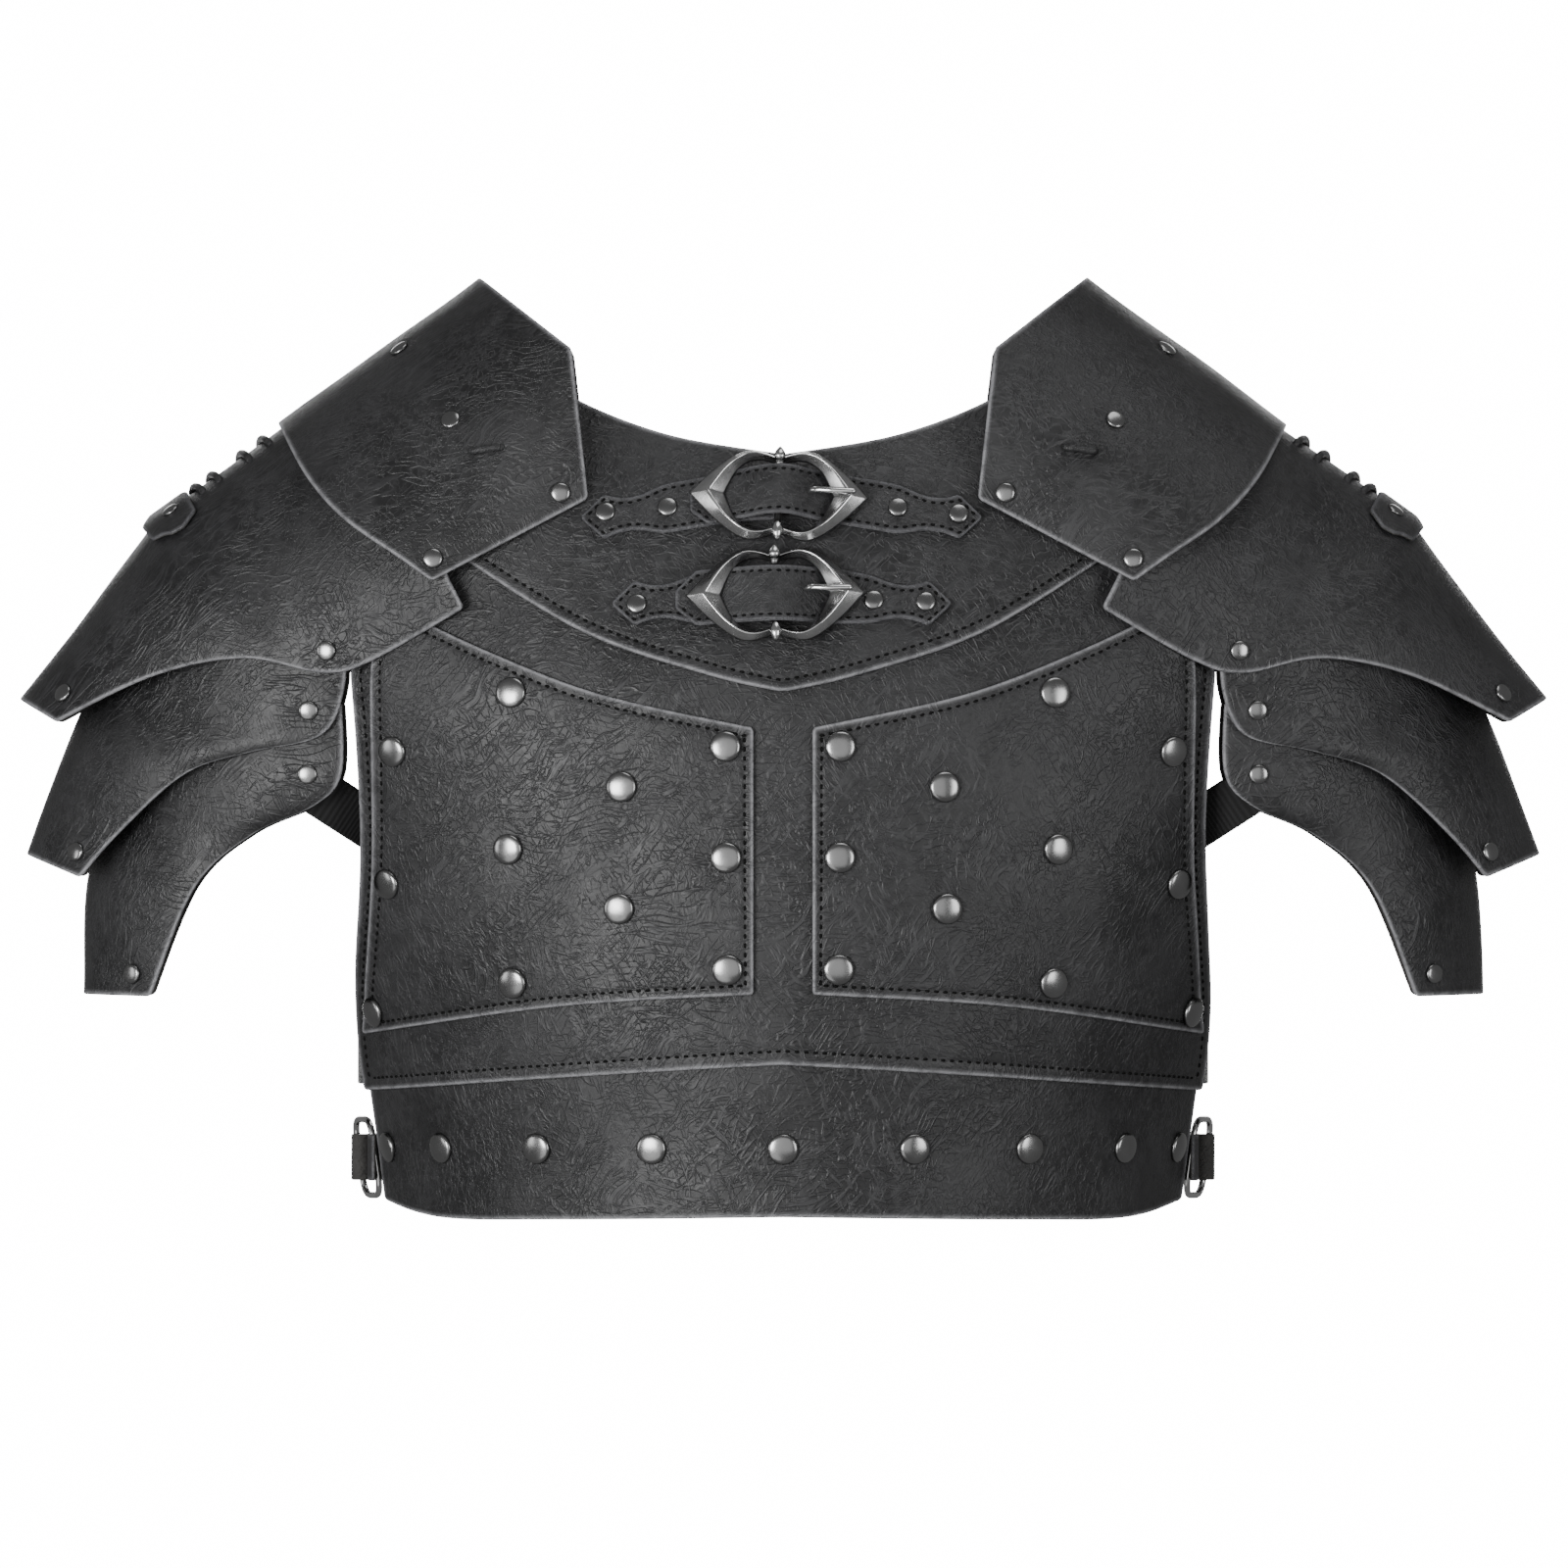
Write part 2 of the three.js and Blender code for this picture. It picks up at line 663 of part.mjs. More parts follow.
// Cap tie: a loop of lace through the cap and the yoke
const TIE = { x: 120.8, z: -11.6, half: 6.4 };
const tiePlace = CAP.placeAt(TIE.x, TIE.z);
const capFront = CAP.layer(tiePlace.u, tiePlace.fold, 0).y;
const yokeBack = chestLayer(chestPlace(TIE.x, TIE.z, YOKE_HEIGHT), YOKE_HEIGHT).y;
const tieOut = capFront - LACE_RADIUS - SEAT;
const tieIn = yokeBack + LACE_RADIUS + 2 * SEAT;
const tieRoute = [
  [-TIE.half, tieOut],
  [TIE.half, tieOut],
  [TIE.half + 1.6, capFront + LEATHER],
  [TIE.half + 1.6, yokeBack - LEATHER],
  [TIE.half, tieIn + 1],
  [-TIE.half, tieIn + 1],
  [-TIE.half - 1.6, yokeBack - LEATHER],
  [-TIE.half - 1.6, capFront + LEATHER],
];

function tieTube(radius) {
  const points = tieRoute.map(([x, y]) => new THREE.Vector3(TIE.x + x, y, TIE.z));
  const path = new THREE.CatmullRomCurve3(points, true, "centripetal");
  return new THREE.TubeGeometry(path, 14, radius, 5, true);
}

const tieHole = tieTube(LACE_RADIUS + HOLE_CLEARANCE);
yoke = cut(cut(yoke, tieHole), mirroredX(tieHole));
addPiece("yoke", yoke, LEATHER_BLACK);
addPair("shoulder_cap", cut(CAP.sheet(7, 7), tieHole), LEATHER_BLACK);
addPair("cap_tie", tieTube(LACE_RADIUS), STRAP_BLACK);

// Crest lace: one cord in two crosses over the first lame's crest. The stops name the hole's
// side, front or rear, and its place along the crest; runs lie over and inside the leather by turns.
const LACE_HOLES = [0.2, 0.272, 0.325, 0.39];
const LACE_FOLD = 0.14;
const LACE_STOPS = [
  { hole: 0, side: 1, next: "over" },
  { hole: 1, side: -1, next: "inside" },
  { hole: 0, side: -1, next: "high" },
  { hole: 1, side: 1, next: "inside" },
  { hole: 2, side: 1, next: "over" },
  { hole: 3, side: -1, next: "inside" },
  { hole: 2, side: -1, next: "high" },
  { hole: 3, side: 1, next: "end" },
];
const LACE_HEIGHT = { over: 2, high: 5.2, inside: -LEATHER - 2 };

function laceTube(radius) {
  const points = [];
  LACE_STOPS.forEach(({ hole, side, next }, i) => {
    const u = LACE_HOLES[hole];
    const arriving = i % 2 === 0 ? LACE_HEIGHT.inside : 1.6;
    const leaving = i % 2 === 0 ? 1.6 : LACE_HEIGHT.inside;
    points.push(FIRST_LAME.layer(u, side * LACE_FOLD, arriving));
    points.push(FIRST_LAME.layer(u, side * LACE_FOLD, leaving));
    if (next === "over" || next === "high") {
      const far = LACE_HOLES[LACE_STOPS[i + 1].hole];
      points.push(FIRST_LAME.layer((u + far) / 2, 0, LACE_HEIGHT[next]));
    }
  });
  const path = new THREE.CatmullRomCurve3(points, false, "centripetal");
  return new THREE.ExtrudeGeometry(roundSection(radius, 5), { extrudePath: path, steps: 38 });
}

const lacedLame = cut(FIRST_LAME.sheet(9, 6), laceTube(LACE_RADIUS + HOLE_CLEARANCE));
addPair("lame_1", lacedLame, LEATHER_BLACK);
addPair("crest_lace", laceTube(LACE_RADIUS), STRAP_BLACK);
addPair("lame_2", LAMES[1].sheet(8, 6), LEATHER_BLACK);
addPair("lame_3", LAMES[2].sheet(8, 6), LEATHER_BLACK);

// Crest tab: half lengths along the crest by the share of the fold on each side of it
const TAB_U = 0.5;
const TAB_HALVES = [
  { fold: -0.2, half: 0.012 },
  { fold: -0.09, half: 0.055 },
  { fold: 0, half: 0.036 },
  { fold: 0.09, half: 0.055 },
  { fold: 0.2, half: 0.012 },
];
const tabLayer = (height) =>
  TAB_HALVES.map(({ fold, half }) =>
    [-1, -0.33, 0.33, 1].map((t) => FIRST_LAME.layer(TAB_U + t * half, fold, height)),
  );
addPair(
  "crest_tab",
  wallBetween(tabLayer(SEAT + STRAP_LEATHER), tabLayer(SEAT)),
  STRAP_BLACK,
);

// A flat strip along a route: each station gives a middle point, its outward side and the
// direction of the strip's width.
function strip(stations, width, thickness) {
  const layer = (height) =>
    stations.map(({ middle, out, across }) =>
      [-1, 1].map((side) =>
        middle
          .clone()
          .addScaledVector(out, height)
          .addScaledVector(across, (side * width) / 2),
      ),
    );
  return wallBetween(layer(thickness / 2), layer(-thickness / 2));
}

// Arm strap: round the inner side of the arm, square to it, inside the last lame
const ARM = { x: 206, z: -141, tilt: 33, reach: 60, depth: 65.6, ends: 88 };
const ARM_STEPS = 12;
const armTilt = THREE.MathUtils.degToRad(ARM.tilt);
const armInward = new THREE.Vector3(-Math.cos(armTilt), 0, -Math.sin(armTilt));
const armAlong = new THREE.Vector3(Math.sin(armTilt), 0, -Math.cos(armTilt));
const armStations = [];
for (let i = 0; i <= ARM_STEPS; i += 1) {
  const degrees = THREE.MathUtils.lerp(-ARM.ends, ARM.ends, i / ARM_STEPS);
  const angle = THREE.MathUtils.degToRad(degrees);
  const middle = new THREE.Vector3(ARM.x, -ARM.depth * Math.sin(angle), ARM.z);
  middle.addScaledVector(armInward, ARM.reach * Math.cos(angle));
  const out = armInward.clone().multiplyScalar(ARM.depth * Math.cos(angle));
  out.y = -ARM.reach * Math.sin(angle);
  armStations.push({ middle, out: out.normalize(), across: armAlong });
}
addPair("arm_strap", strip(armStations, ARM_STRAP_WIDTH, STRAP_LEATHER), WEBBING_BLACK);

// Waist: rings in leather loops on the belt's ends, and the strap behind that joins them
const RING = { x: 165.9, z: -301, wire: 1.5, length: 24, height: 34, splay: 6 };
const LOOP = { bend: 3.2, leg: 7, bar: 4.8, wall: 1.6 };
const up = new THREE.Vector3(0, 0, 1);
const beltMiddle = -SEAT - LEATHER / 2;
const ringPlace = chestPlace(RING.x, RING.z, beltMiddle);
const beltTip = chestLayer(ringPlace, beltMiddle);
const beltRun = chestPoint(ringPlace.x + 0.02, RING.z).sub(chestPoint(ringPlace.x - 0.02, RING.z));
beltRun.normalize();
const beltOut = beltRun.clone().cross(up);
const ringBar = beltTip.clone().addScaledVector(beltRun, LOOP.bar);

// A strip that turns round a bar: two legs and a half turn between them.
function loopStations(bar, run, out, legs) {
  const middle = LOOP.bend + LOOP.wall / 2;
  const stations = [];
  const add = (along, angle) => {
    const side = run.clone().multiplyScalar(Math.sin(angle));
    side.addScaledVector(out, Math.cos(angle));
    const point = bar.clone().addScaledVector(run, along).addScaledVector(side, middle);
    stations.push({ middle: point, out: side, across: up });
  };
  add(-legs[0], 0);
  for (let i = 0; i <= 6; i += 1) add(0, (i / 6) * Math.PI);
  if (legs[1] > 0) add(-legs[1], Math.PI);
  return stations;
}

const beltLoop = loopStations(ringBar, beltRun, beltOut, [LOOP.leg, LOOP.leg]);
addPair("ring_loop", strip(beltLoop, BACK_STRAP_WIDTH, LOOP.wall), STRAP_BLACK);

const ringRun = beltRun.clone().applyAxisAngle(up, THREE.MathUtils.degToRad(-RING.splay));
const ringPoints = [];
for (let i = 0; i < 12; i += 1) {
  const angle = (i / 12) * 2 * Math.PI;
  const bulge = (value) => Math.sign(value) * Math.sqrt(Math.abs(value));
  const along = (RING.length / 2) * (1 - bulge(Math.cos(angle)));
  const rise = ((RING.height - 2 * RING.wire) / 2) * bulge(Math.sin(angle));
  ringPoints.push(ringBar.clone().addScaledVector(ringRun, along).addScaledVector(up, rise));
}
const ringPath = new THREE.CatmullRomCurve3(ringPoints, true, "centripetal");
addPair("d_ring", new THREE.TubeGeometry(ringPath, 16, RING.wire, 5, true), ANTIQUE_SILVER);

// The torso's section behind its widest line, at an angle round from the front.
function backPoint(angle, z, inset) {
  const front = readTable(TORSO, "z", "front", z);
  const half = readTable(TORSO, "z", "half", z) - inset;
  const depth = Math.cos(angle) > 0 ? readTable(TORSO, "z", "depth", z) - inset : BACK_DEPTH;
  const middle = front + readTable(TORSO, "z", "depth", z);
  return new THREE.Vector3(half * Math.sin(angle), middle - depth * Math.cos(angle), z);
}

function roundBack(fromDegrees, steps, z, inset) {
  const stations = [];
  for (let i = 0; i <= steps; i += 1) {
    const degrees = THREE.MathUtils.lerp(fromDegrees, 360 - fromDegrees, i / steps);
    const angle = THREE.MathUtils.degToRad(degrees);
    const run = backPoint(angle + 0.01, z, inset).sub(backPoint(angle - 0.01, z, inset));
    const out = run.normalize().cross(up);
    stations.push({ middle: backPoint(angle, z, inset), out, across: up });
  }
  return stations;
}

const farBar = ringBar.clone().addScaledVector(ringRun, RING.length);
const strapRun = new THREE.Vector3(-0.12, 1, 0).normalize();
const strapOut = strapRun.clone().cross(up);
const rightLoop = loopStations(farBar, strapRun.clone().negate(), strapOut, [20, 8]);
const overMiddle = new THREE.Vector3(-1, 1, 1);
const leftLoop = rightLoop
  .map(({ middle, out }) => ({
    middle: middle.clone().multiply(overMiddle),
    out: out.clone().multiply(overMiddle),
    across: up,
  }))
  .reverse();
const WAIST_BACK = { from: 100, steps: 14 };
const waistRun = roundBack(WAIST_BACK.from, WAIST_BACK.steps, RING.z, 0).map((station) => ({
  ...station,
  out: station.out.negate(),
}));
addPiece(
  "waist_back_strap",
  strip([...rightLoop, ...waistRun, ...leftLoop], BACK_STRAP_WIDTH, LOOP.wall),
  STRAP_BLACK,
);

const CHEST_BACK = { z: -258.5, from: 68, steps: 18, width: 25, inset: 8.1 };
const chestRun = roundBack(CHEST_BACK.from, CHEST_BACK.steps, CHEST_BACK.z, CHEST_BACK.inset);
addPiece("chest_back_strap", strip(chestRun, CHEST_BACK.width, STRAP_LEATHER), STRAP_BLACK);

export default armour;
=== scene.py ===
import math

import bpy
import numpy as np
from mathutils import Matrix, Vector


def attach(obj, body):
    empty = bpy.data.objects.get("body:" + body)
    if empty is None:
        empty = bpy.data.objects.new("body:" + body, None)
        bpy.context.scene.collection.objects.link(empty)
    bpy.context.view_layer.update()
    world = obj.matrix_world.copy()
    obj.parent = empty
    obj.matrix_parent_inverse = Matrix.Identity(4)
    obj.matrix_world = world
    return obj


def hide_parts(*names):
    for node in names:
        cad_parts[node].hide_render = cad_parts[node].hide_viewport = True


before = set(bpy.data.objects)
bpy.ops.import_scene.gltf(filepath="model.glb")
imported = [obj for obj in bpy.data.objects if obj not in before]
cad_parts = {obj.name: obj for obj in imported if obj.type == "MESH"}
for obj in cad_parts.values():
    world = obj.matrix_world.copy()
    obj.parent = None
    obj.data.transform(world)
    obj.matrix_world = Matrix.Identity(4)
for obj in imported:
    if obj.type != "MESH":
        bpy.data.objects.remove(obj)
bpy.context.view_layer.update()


# Base panel: the sheet of black leather that covers the chest and carries the rest.
# It is cut to an outline, moulded to a round, and sewn along its hem and its two sides.
MM = 0.001
LEATHER = 2.0  # mm, wall of the plates and panels
SEWN_GAP = 0.75  # mm between two sheets that are sewn together
LAYER = LEATHER + SEWN_GAP
CHEST_MIDDLE = np.array([0, 0, -160.0])

# Moulded form that the leather follows, by height: front line, half width and depth of each section
CHEST_FORM = np.array([
    (-330, -110, 169, 150),
    (-298, -112, 173, 148),
    (-240, -117, 181, 137),
    (-190, -119, 190, 118),
    (-150, -118, 198, 106),
    (-110, -115, 209, 96),
    (-70, -104, 212, 80),
    (-32, -91, 216, 58),
    (-13, -79, 220, 46),
    (12, -64, 225, 36),
    (45, -36, 232, 28),
], float)


def read_table(rows, column, place):
    """A column of a table by its first column, with smooth slopes between the rows."""
    key, value = rows[:, 0], rows[:, column]
    row = np.arange(len(key))
    before, after = np.maximum(row - 1, 0), np.minimum(row + 1, len(key) - 1)
    slope = (value[after] - value[before]) / (key[after] - key[before])
    i = np.clip(np.searchsorted(key, place) - 1, 0, len(key) - 2)
    span = key[i + 1] - key[i]
    t = np.clip((place - key[i]) / span, 0, 1)
    rise = t * t * (3 - 2 * t)
    return (
        value[i] * (1 - rise)
        + value[i + 1] * rise
        + slope[i] * span * t * (1 - t) ** 2
        - slope[i + 1] * span * t * t * (1 - t)
    )


def unit(vectors):
    return vectors / np.maximum(np.linalg.norm(vectors, axis=-1, keepdims=True), 1e-9)


def chest_point(angle, z):
    front, half, depth = (read_table(CHEST_FORM, column, z) for column in (1, 2, 3))
    return np.stack([half * np.sin(angle), front + depth * (1 - np.cos(angle)), z], -1)


def chest_normal(angle, z):
    across = chest_point(angle + 0.01, z) - chest_point(angle - 0.01, z)
    up = chest_point(angle, z + 1) - chest_point(angle, z - 1)
    return unit(np.cross(across, up))


def chest_angle(x, z):
    return np.arcsin(np.clip(x / read_table(CHEST_FORM, 2, z), -1, 1))


def chest_place(x, z, height):
    """The form's angle and z under the layer that is seen from the front at x and z."""
    x, z = np.broadcast_arrays(np.asarray(x, float), np.asarray(z, float))
    angle, level = chest_angle(x, z), z
    for _ in range(4):
        normal = chest_normal(angle, level)
        level = z - normal[..., 2] * height
        angle = chest_angle(x - normal[..., 0] * height, level)
    return angle, level


def chest_layer(angle, z, height):
    return chest_point(angle, z) + chest_normal(angle, z) * np.asarray(height)[..., None]


EDGE_POINTS = 800  # along each edge of an outline
FACE_POINTS = 61  # along each direction of a face, where its lengths are measured


def edge(*stretches):
    """Even points along an edge: smooth stretches through x, z points that meet at corners."""
    t = np.linspace(0, 1, 25)[:, None]
    drawn = []
    for stretch in stretches:
        p = np.array([stretch[0], *stretch, stretch[-1]], float)
        for a, b, c, d in zip(p, p[1:], p[2:], p[3:]):
            bend = a - 2.5 * b + 2 * c - d / 2
            drawn.append(b + (c - a) / 2 * t + bend * t**2 + (1.5 * (b - c) + (d - a) / 2) * t**3)
    points = np.vstack(drawn)
    along = np.append(0, np.cumsum(np.linalg.norm(np.diff(points, axis=0), axis=1)))
    even = np.linspace(0, along[-1], EDGE_POINTS)
    return np.stack([np.interp(even, along, column) for column in points.T], -1)


def mirrored(points):
    return [(-x, z) for x, z in points]


def both_sides(*stretches):
    """An edge that crosses the middle line, from the stretches of its right half."""
    left = [mirrored(stretch)[::-1] for stretch in stretches]
    return edge(*left[::-1], *stretches)


def blend_edges(bottom, right, top, left):
    """A patch between four edges that meet at their corners, as a function of two shares."""
    shares = np.linspace(0, 1, len(bottom))

    def pick(line, share):
        return np.stack([np.interp(share, shares, column) for column in line.T], -1)

    def patch(u, v):
        p, q = u[..., None], v[..., None]
        return (
            pick(bottom, u) * (1 - q)
            + pick(top, u) * q
            + pick(left, v) * (1 - p)
            + pick(right, v) * p
            - bottom[0] * (1 - p) * (1 - q)
            - bottom[-1] * p * (1 - q)
            - top[0] * (1 - p) * q
            - top[-1] * p * q
        )

    return patch


def chest_sheet(bottom, right, top, left, height):
    """The outer face of a moulded sheet, from its outline as seen from the front."""
    outline = [
        np.stack(chest_place(line[:, 0], line[:, 1], height), -1)
        for line in (bottom, right, top, left)
    ]
    patch = blend_edges(*outline)

    def face(u, v):
        place = patch(u, v)
        return chest_layer(place[..., 0], place[..., 1], height)

    return face


def face_normals(face, u, v, within):
    """Unit normals of a face, pointing away from a point inside the armour."""
    step = 1e-3
    by_u = face(np.minimum(u + step, 1), v) - face(np.maximum(u - step, 0), v)
    by_v = face(u, np.minimum(v + step, 1)) - face(u, np.maximum(v - step, 0))
    normals = unit(np.cross(by_u, by_v))
    turn = np.sign(np.mean(np.sum(normals * (face(u, v) - within), -1)))
    return normals * turn, turn


def face_lengths(face):
    """Lengths of a face along u and along v, as functions of the other share."""
    shares = np.linspace(0, 1, FACE_POINTS)
    points = face(*np.meshgrid(shares, shares, indexing="ij"))
    along_u = np.linalg.norm(np.diff(points, axis=0), axis=-1).sum(0)
    along_v = np.linalg.norm(np.diff(points, axis=1), axis=-1).sum(1)
    return lambda v: np.interp(v, shares, along_u), lambda u: np.interp(u, shares, along_v)


EDGE_LINES = np.array([0, 0.2, 0.45, 0.8, 1.5, 2.4, 3.2, 4.0, 4.8, 5.8, 7.2])  # mm in from an edge
NARROW = 20  # mm, width under which the edge lines move closer together
EDGE_WEAR_AND_HIGHLIGHT_BAND = {"reach": 1.7, "fade": 0.7}  # mm, the pale band along an edge: rubbed wear and a painted highlight
GROOVE = {"depth": 0.35, "half": 0.9}  # mm, the line that a row of stitches presses in
WAVES = 7


def grid_lines(length, inside):
    """Distances of a sheet's grid lines across lengths in mm, close together at both edges."""
    near = EDGE_LINES * np.minimum(1, length / NARROW)[..., None]
    first, last = near[..., -1:], length[..., None] - near[..., -1:]
    middle = first + (last - first) * np.linspace(0, 1, inside + 2)[1:-1]
    return np.concatenate([near, middle, length[..., None] - near[..., ::-1]], -1)


def round_corner(a, b, radius):
    """Moves points near a square corner, at a and b from its two edges, into a round one."""
    p, q = np.clip(1 - a / radius, 0, 1), np.clip(1 - b / radius, 0, 1)
    near = (p > 0) & (q > 0)
    shrink = np.where(near, np.maximum(p, q) / np.maximum(np.hypot(p, q), 1e-9), 1)
    return np.where(near, radius * (1 - p * shrink), a), np.where(near, radius * (1 - q * shrink), b)


def sheet_mesh(face, within, wall, corner=2.0, step=2.8, round_edge=0.9, relief=None):
    """A leather sheet with rounded edges and corners: its points, its faces, and two values for
    each point, how near its edge it lies, for the pale band of rubbed wear and painted highlight there,
    and whether it is on the flesh side."""
    width_at, height_at = face_lengths(face)
    middle = np.linspace(0, 1, FACE_POINTS)
    width, height = width_at(middle).mean(), height_at(middle).mean()
    count_u = max(1, round((width - 2 * EDGE_LINES[-1]) / step))
    count_v = max(1, round((height - 2 * EDGE_LINES[-1]) / step))
    widths = width_at(grid_lines(np.array(height), count_v) / height)
    heights = height_at(grid_lines(np.array(width), count_u) / width)
    a = grid_lines(widths, count_u).T
    b = grid_lines(heights, count_v)
    width, height = widths[None, :], heights[:, None]
    sides = {"left": a, "right": width - a, "bottom": b, "top": height - b}
    depth = np.minimum.reduce(list(sides.values()))
    if corner:
        a, b = round_corner(a, b, corner)
        far_a, b = round_corner(width - a, b, corner)
        a, far_b = round_corner(width - far_a, height - b, corner)
        far_a, far_b = round_corner(width - a, far_b, corner)
        a, b = width - far_a, height - far_b
    u, v = np.clip(a / width, 0, 1), np.clip(b / height, 0, 1)
    points = face(u, v)
    normals, turn = face_normals(face, u, v, within)
    inward = np.clip(round_edge - depth, 0, round_edge)
    drop = round_edge - np.sqrt(round_edge**2 - inward**2)
    lift = relief(points, sides) if relief else 0
    outer = points + normals * (lift - drop)[..., None]
    inner = points + normals * (lift - wall + drop)[..., None]
    columns, rows = u.shape
    index = np.arange(columns * rows).reshape(columns, rows)

    def quads(p, q, r, s):
        return np.stack([p, q, r, s], -1).reshape(-1, 4)

    under = index + columns * rows
    rim = np.concatenate([index[:-1, 0], index[-1, :-1], index[:0:-1, -1], index[0, :0:-1]])
    after = np.roll(rim, -1)
    faces = np.concatenate([
        quads(index[:-1, :-1], index[1:, :-1], index[1:, 1:], index[:-1, 1:]),
        quads(under[:-1, :-1], under[:-1, 1:], under[1:, 1:], under[1:, :-1]),
        quads(after, rim, rim + columns * rows, after + columns * rows),
    ])
    # Pale edge band: rubbed wear and a painted highlight, strongest right at the edge
    wear_and_highlight = np.clip((EDGE_WEAR_AND_HIGHLIGHT_BAND["reach"] - depth) / EDGE_WEAR_AND_HIGHLIGHT_BAND["fade"], 0, 1).ravel()
    return (
        np.concatenate([outer.reshape(-1, 3), inner.reshape(-1, 3)]),
        faces if turn > 0 else faces[:, ::-1],
        {
            "edge_wear_and_highlight": np.concatenate([wear_and_highlight, wear_and_highlight]),
            "flesh_side": np.repeat([0.0, 1.0], columns * rows),
        },
    )


def unevenness(points, seed, wave, height):
    """Slow rises and hollows of hand-shaped leather: crossing waves of about that length."""
    rng = np.random.default_rng(seed)
    total = 0
    for _ in range(WAVES):
        direction = unit(rng.normal(size=3)) / (wave * rng.uniform(0.6, 1.8))
        total = total + np.sin(2 * np.pi * (points @ direction + rng.uniform()))
    return total * height / math.sqrt(WAVES)


def sewn_groove(distance, inset):
    return -GROOVE["depth"] * np.exp(-(((distance - inset) / GROOVE["half"]) ** 2))


def dimples(points, centres, radius, depth):
    """Leather drawn down round each rivet."""
    away = np.linalg.norm(points[..., None, :] - centres, axis=-1).min(-1)
    return -depth * np.exp(-((away / (1.5 * radius)) ** 4))


def make_piece(name, points, faces, material, nodes=(), values=None):
    """A mesh of the armour, in millimetres, that stands for the named solids."""
    mesh = bpy.data.meshes.new(name)
    mesh.from_pydata((points * MM).tolist(), [], [list(corners) for corners in faces])
    mesh.polygons.foreach_set("use_smooth", [True] * len(mesh.polygons))
    for key, value in (values or {}).items():
        mesh.attributes.new(key, "FLOAT", "POINT").data.foreach_set("value", value)
    mesh.materials.append(material)
    piece = bpy.data.objects.new(name, mesh)
    bpy.context.scene.collection.objects.link(piece)
    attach(piece, "root")
    if nodes:
        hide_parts(*nodes)


def leather_piece(name, face, within, wall, material, slot, nodes, **shape):
    """A sheet of leather, or of webbing, as a piece of the armour."""
    points, faces, values = sheet_mesh(face, within, wall, **shape)
    make_piece(name, points, faces, material, nodes, values)


def linear(hex_colour):
    """An sRGB hex colour as linear red, green, blue and alpha."""
    parts = [int(hex_colour[i : i + 2], 16) / 255 for i in (1, 3, 5)]
    return (*[c / 12.92 if c <= 0.04045 else ((c + 0.055) / 1.055) ** 2.4 for c in parts], 1)


def new_material(name):
    material = bpy.data.materials.new(name)
    material.use_nodes = True
    tree = material.node_tree
    return material, tree, tree.nodes["Principled BSDF"]


def add_node(tree, kind, output, inputs=None, **settings):
    """Adds a node with its settings, sets or links its inputs, and gives back one of its outputs."""
    node = tree.nodes.new("ShaderNode" + kind)
    for key, value in settings.items():
        setattr(node, key, value)
    for key, value in (inputs or {}).items():
        if isinstance(value, bpy.types.NodeSocket):
            tree.links.new(value, node.inputs[key])
        else:
            node.inputs[key].default_value = value
    return node.outputs[output]
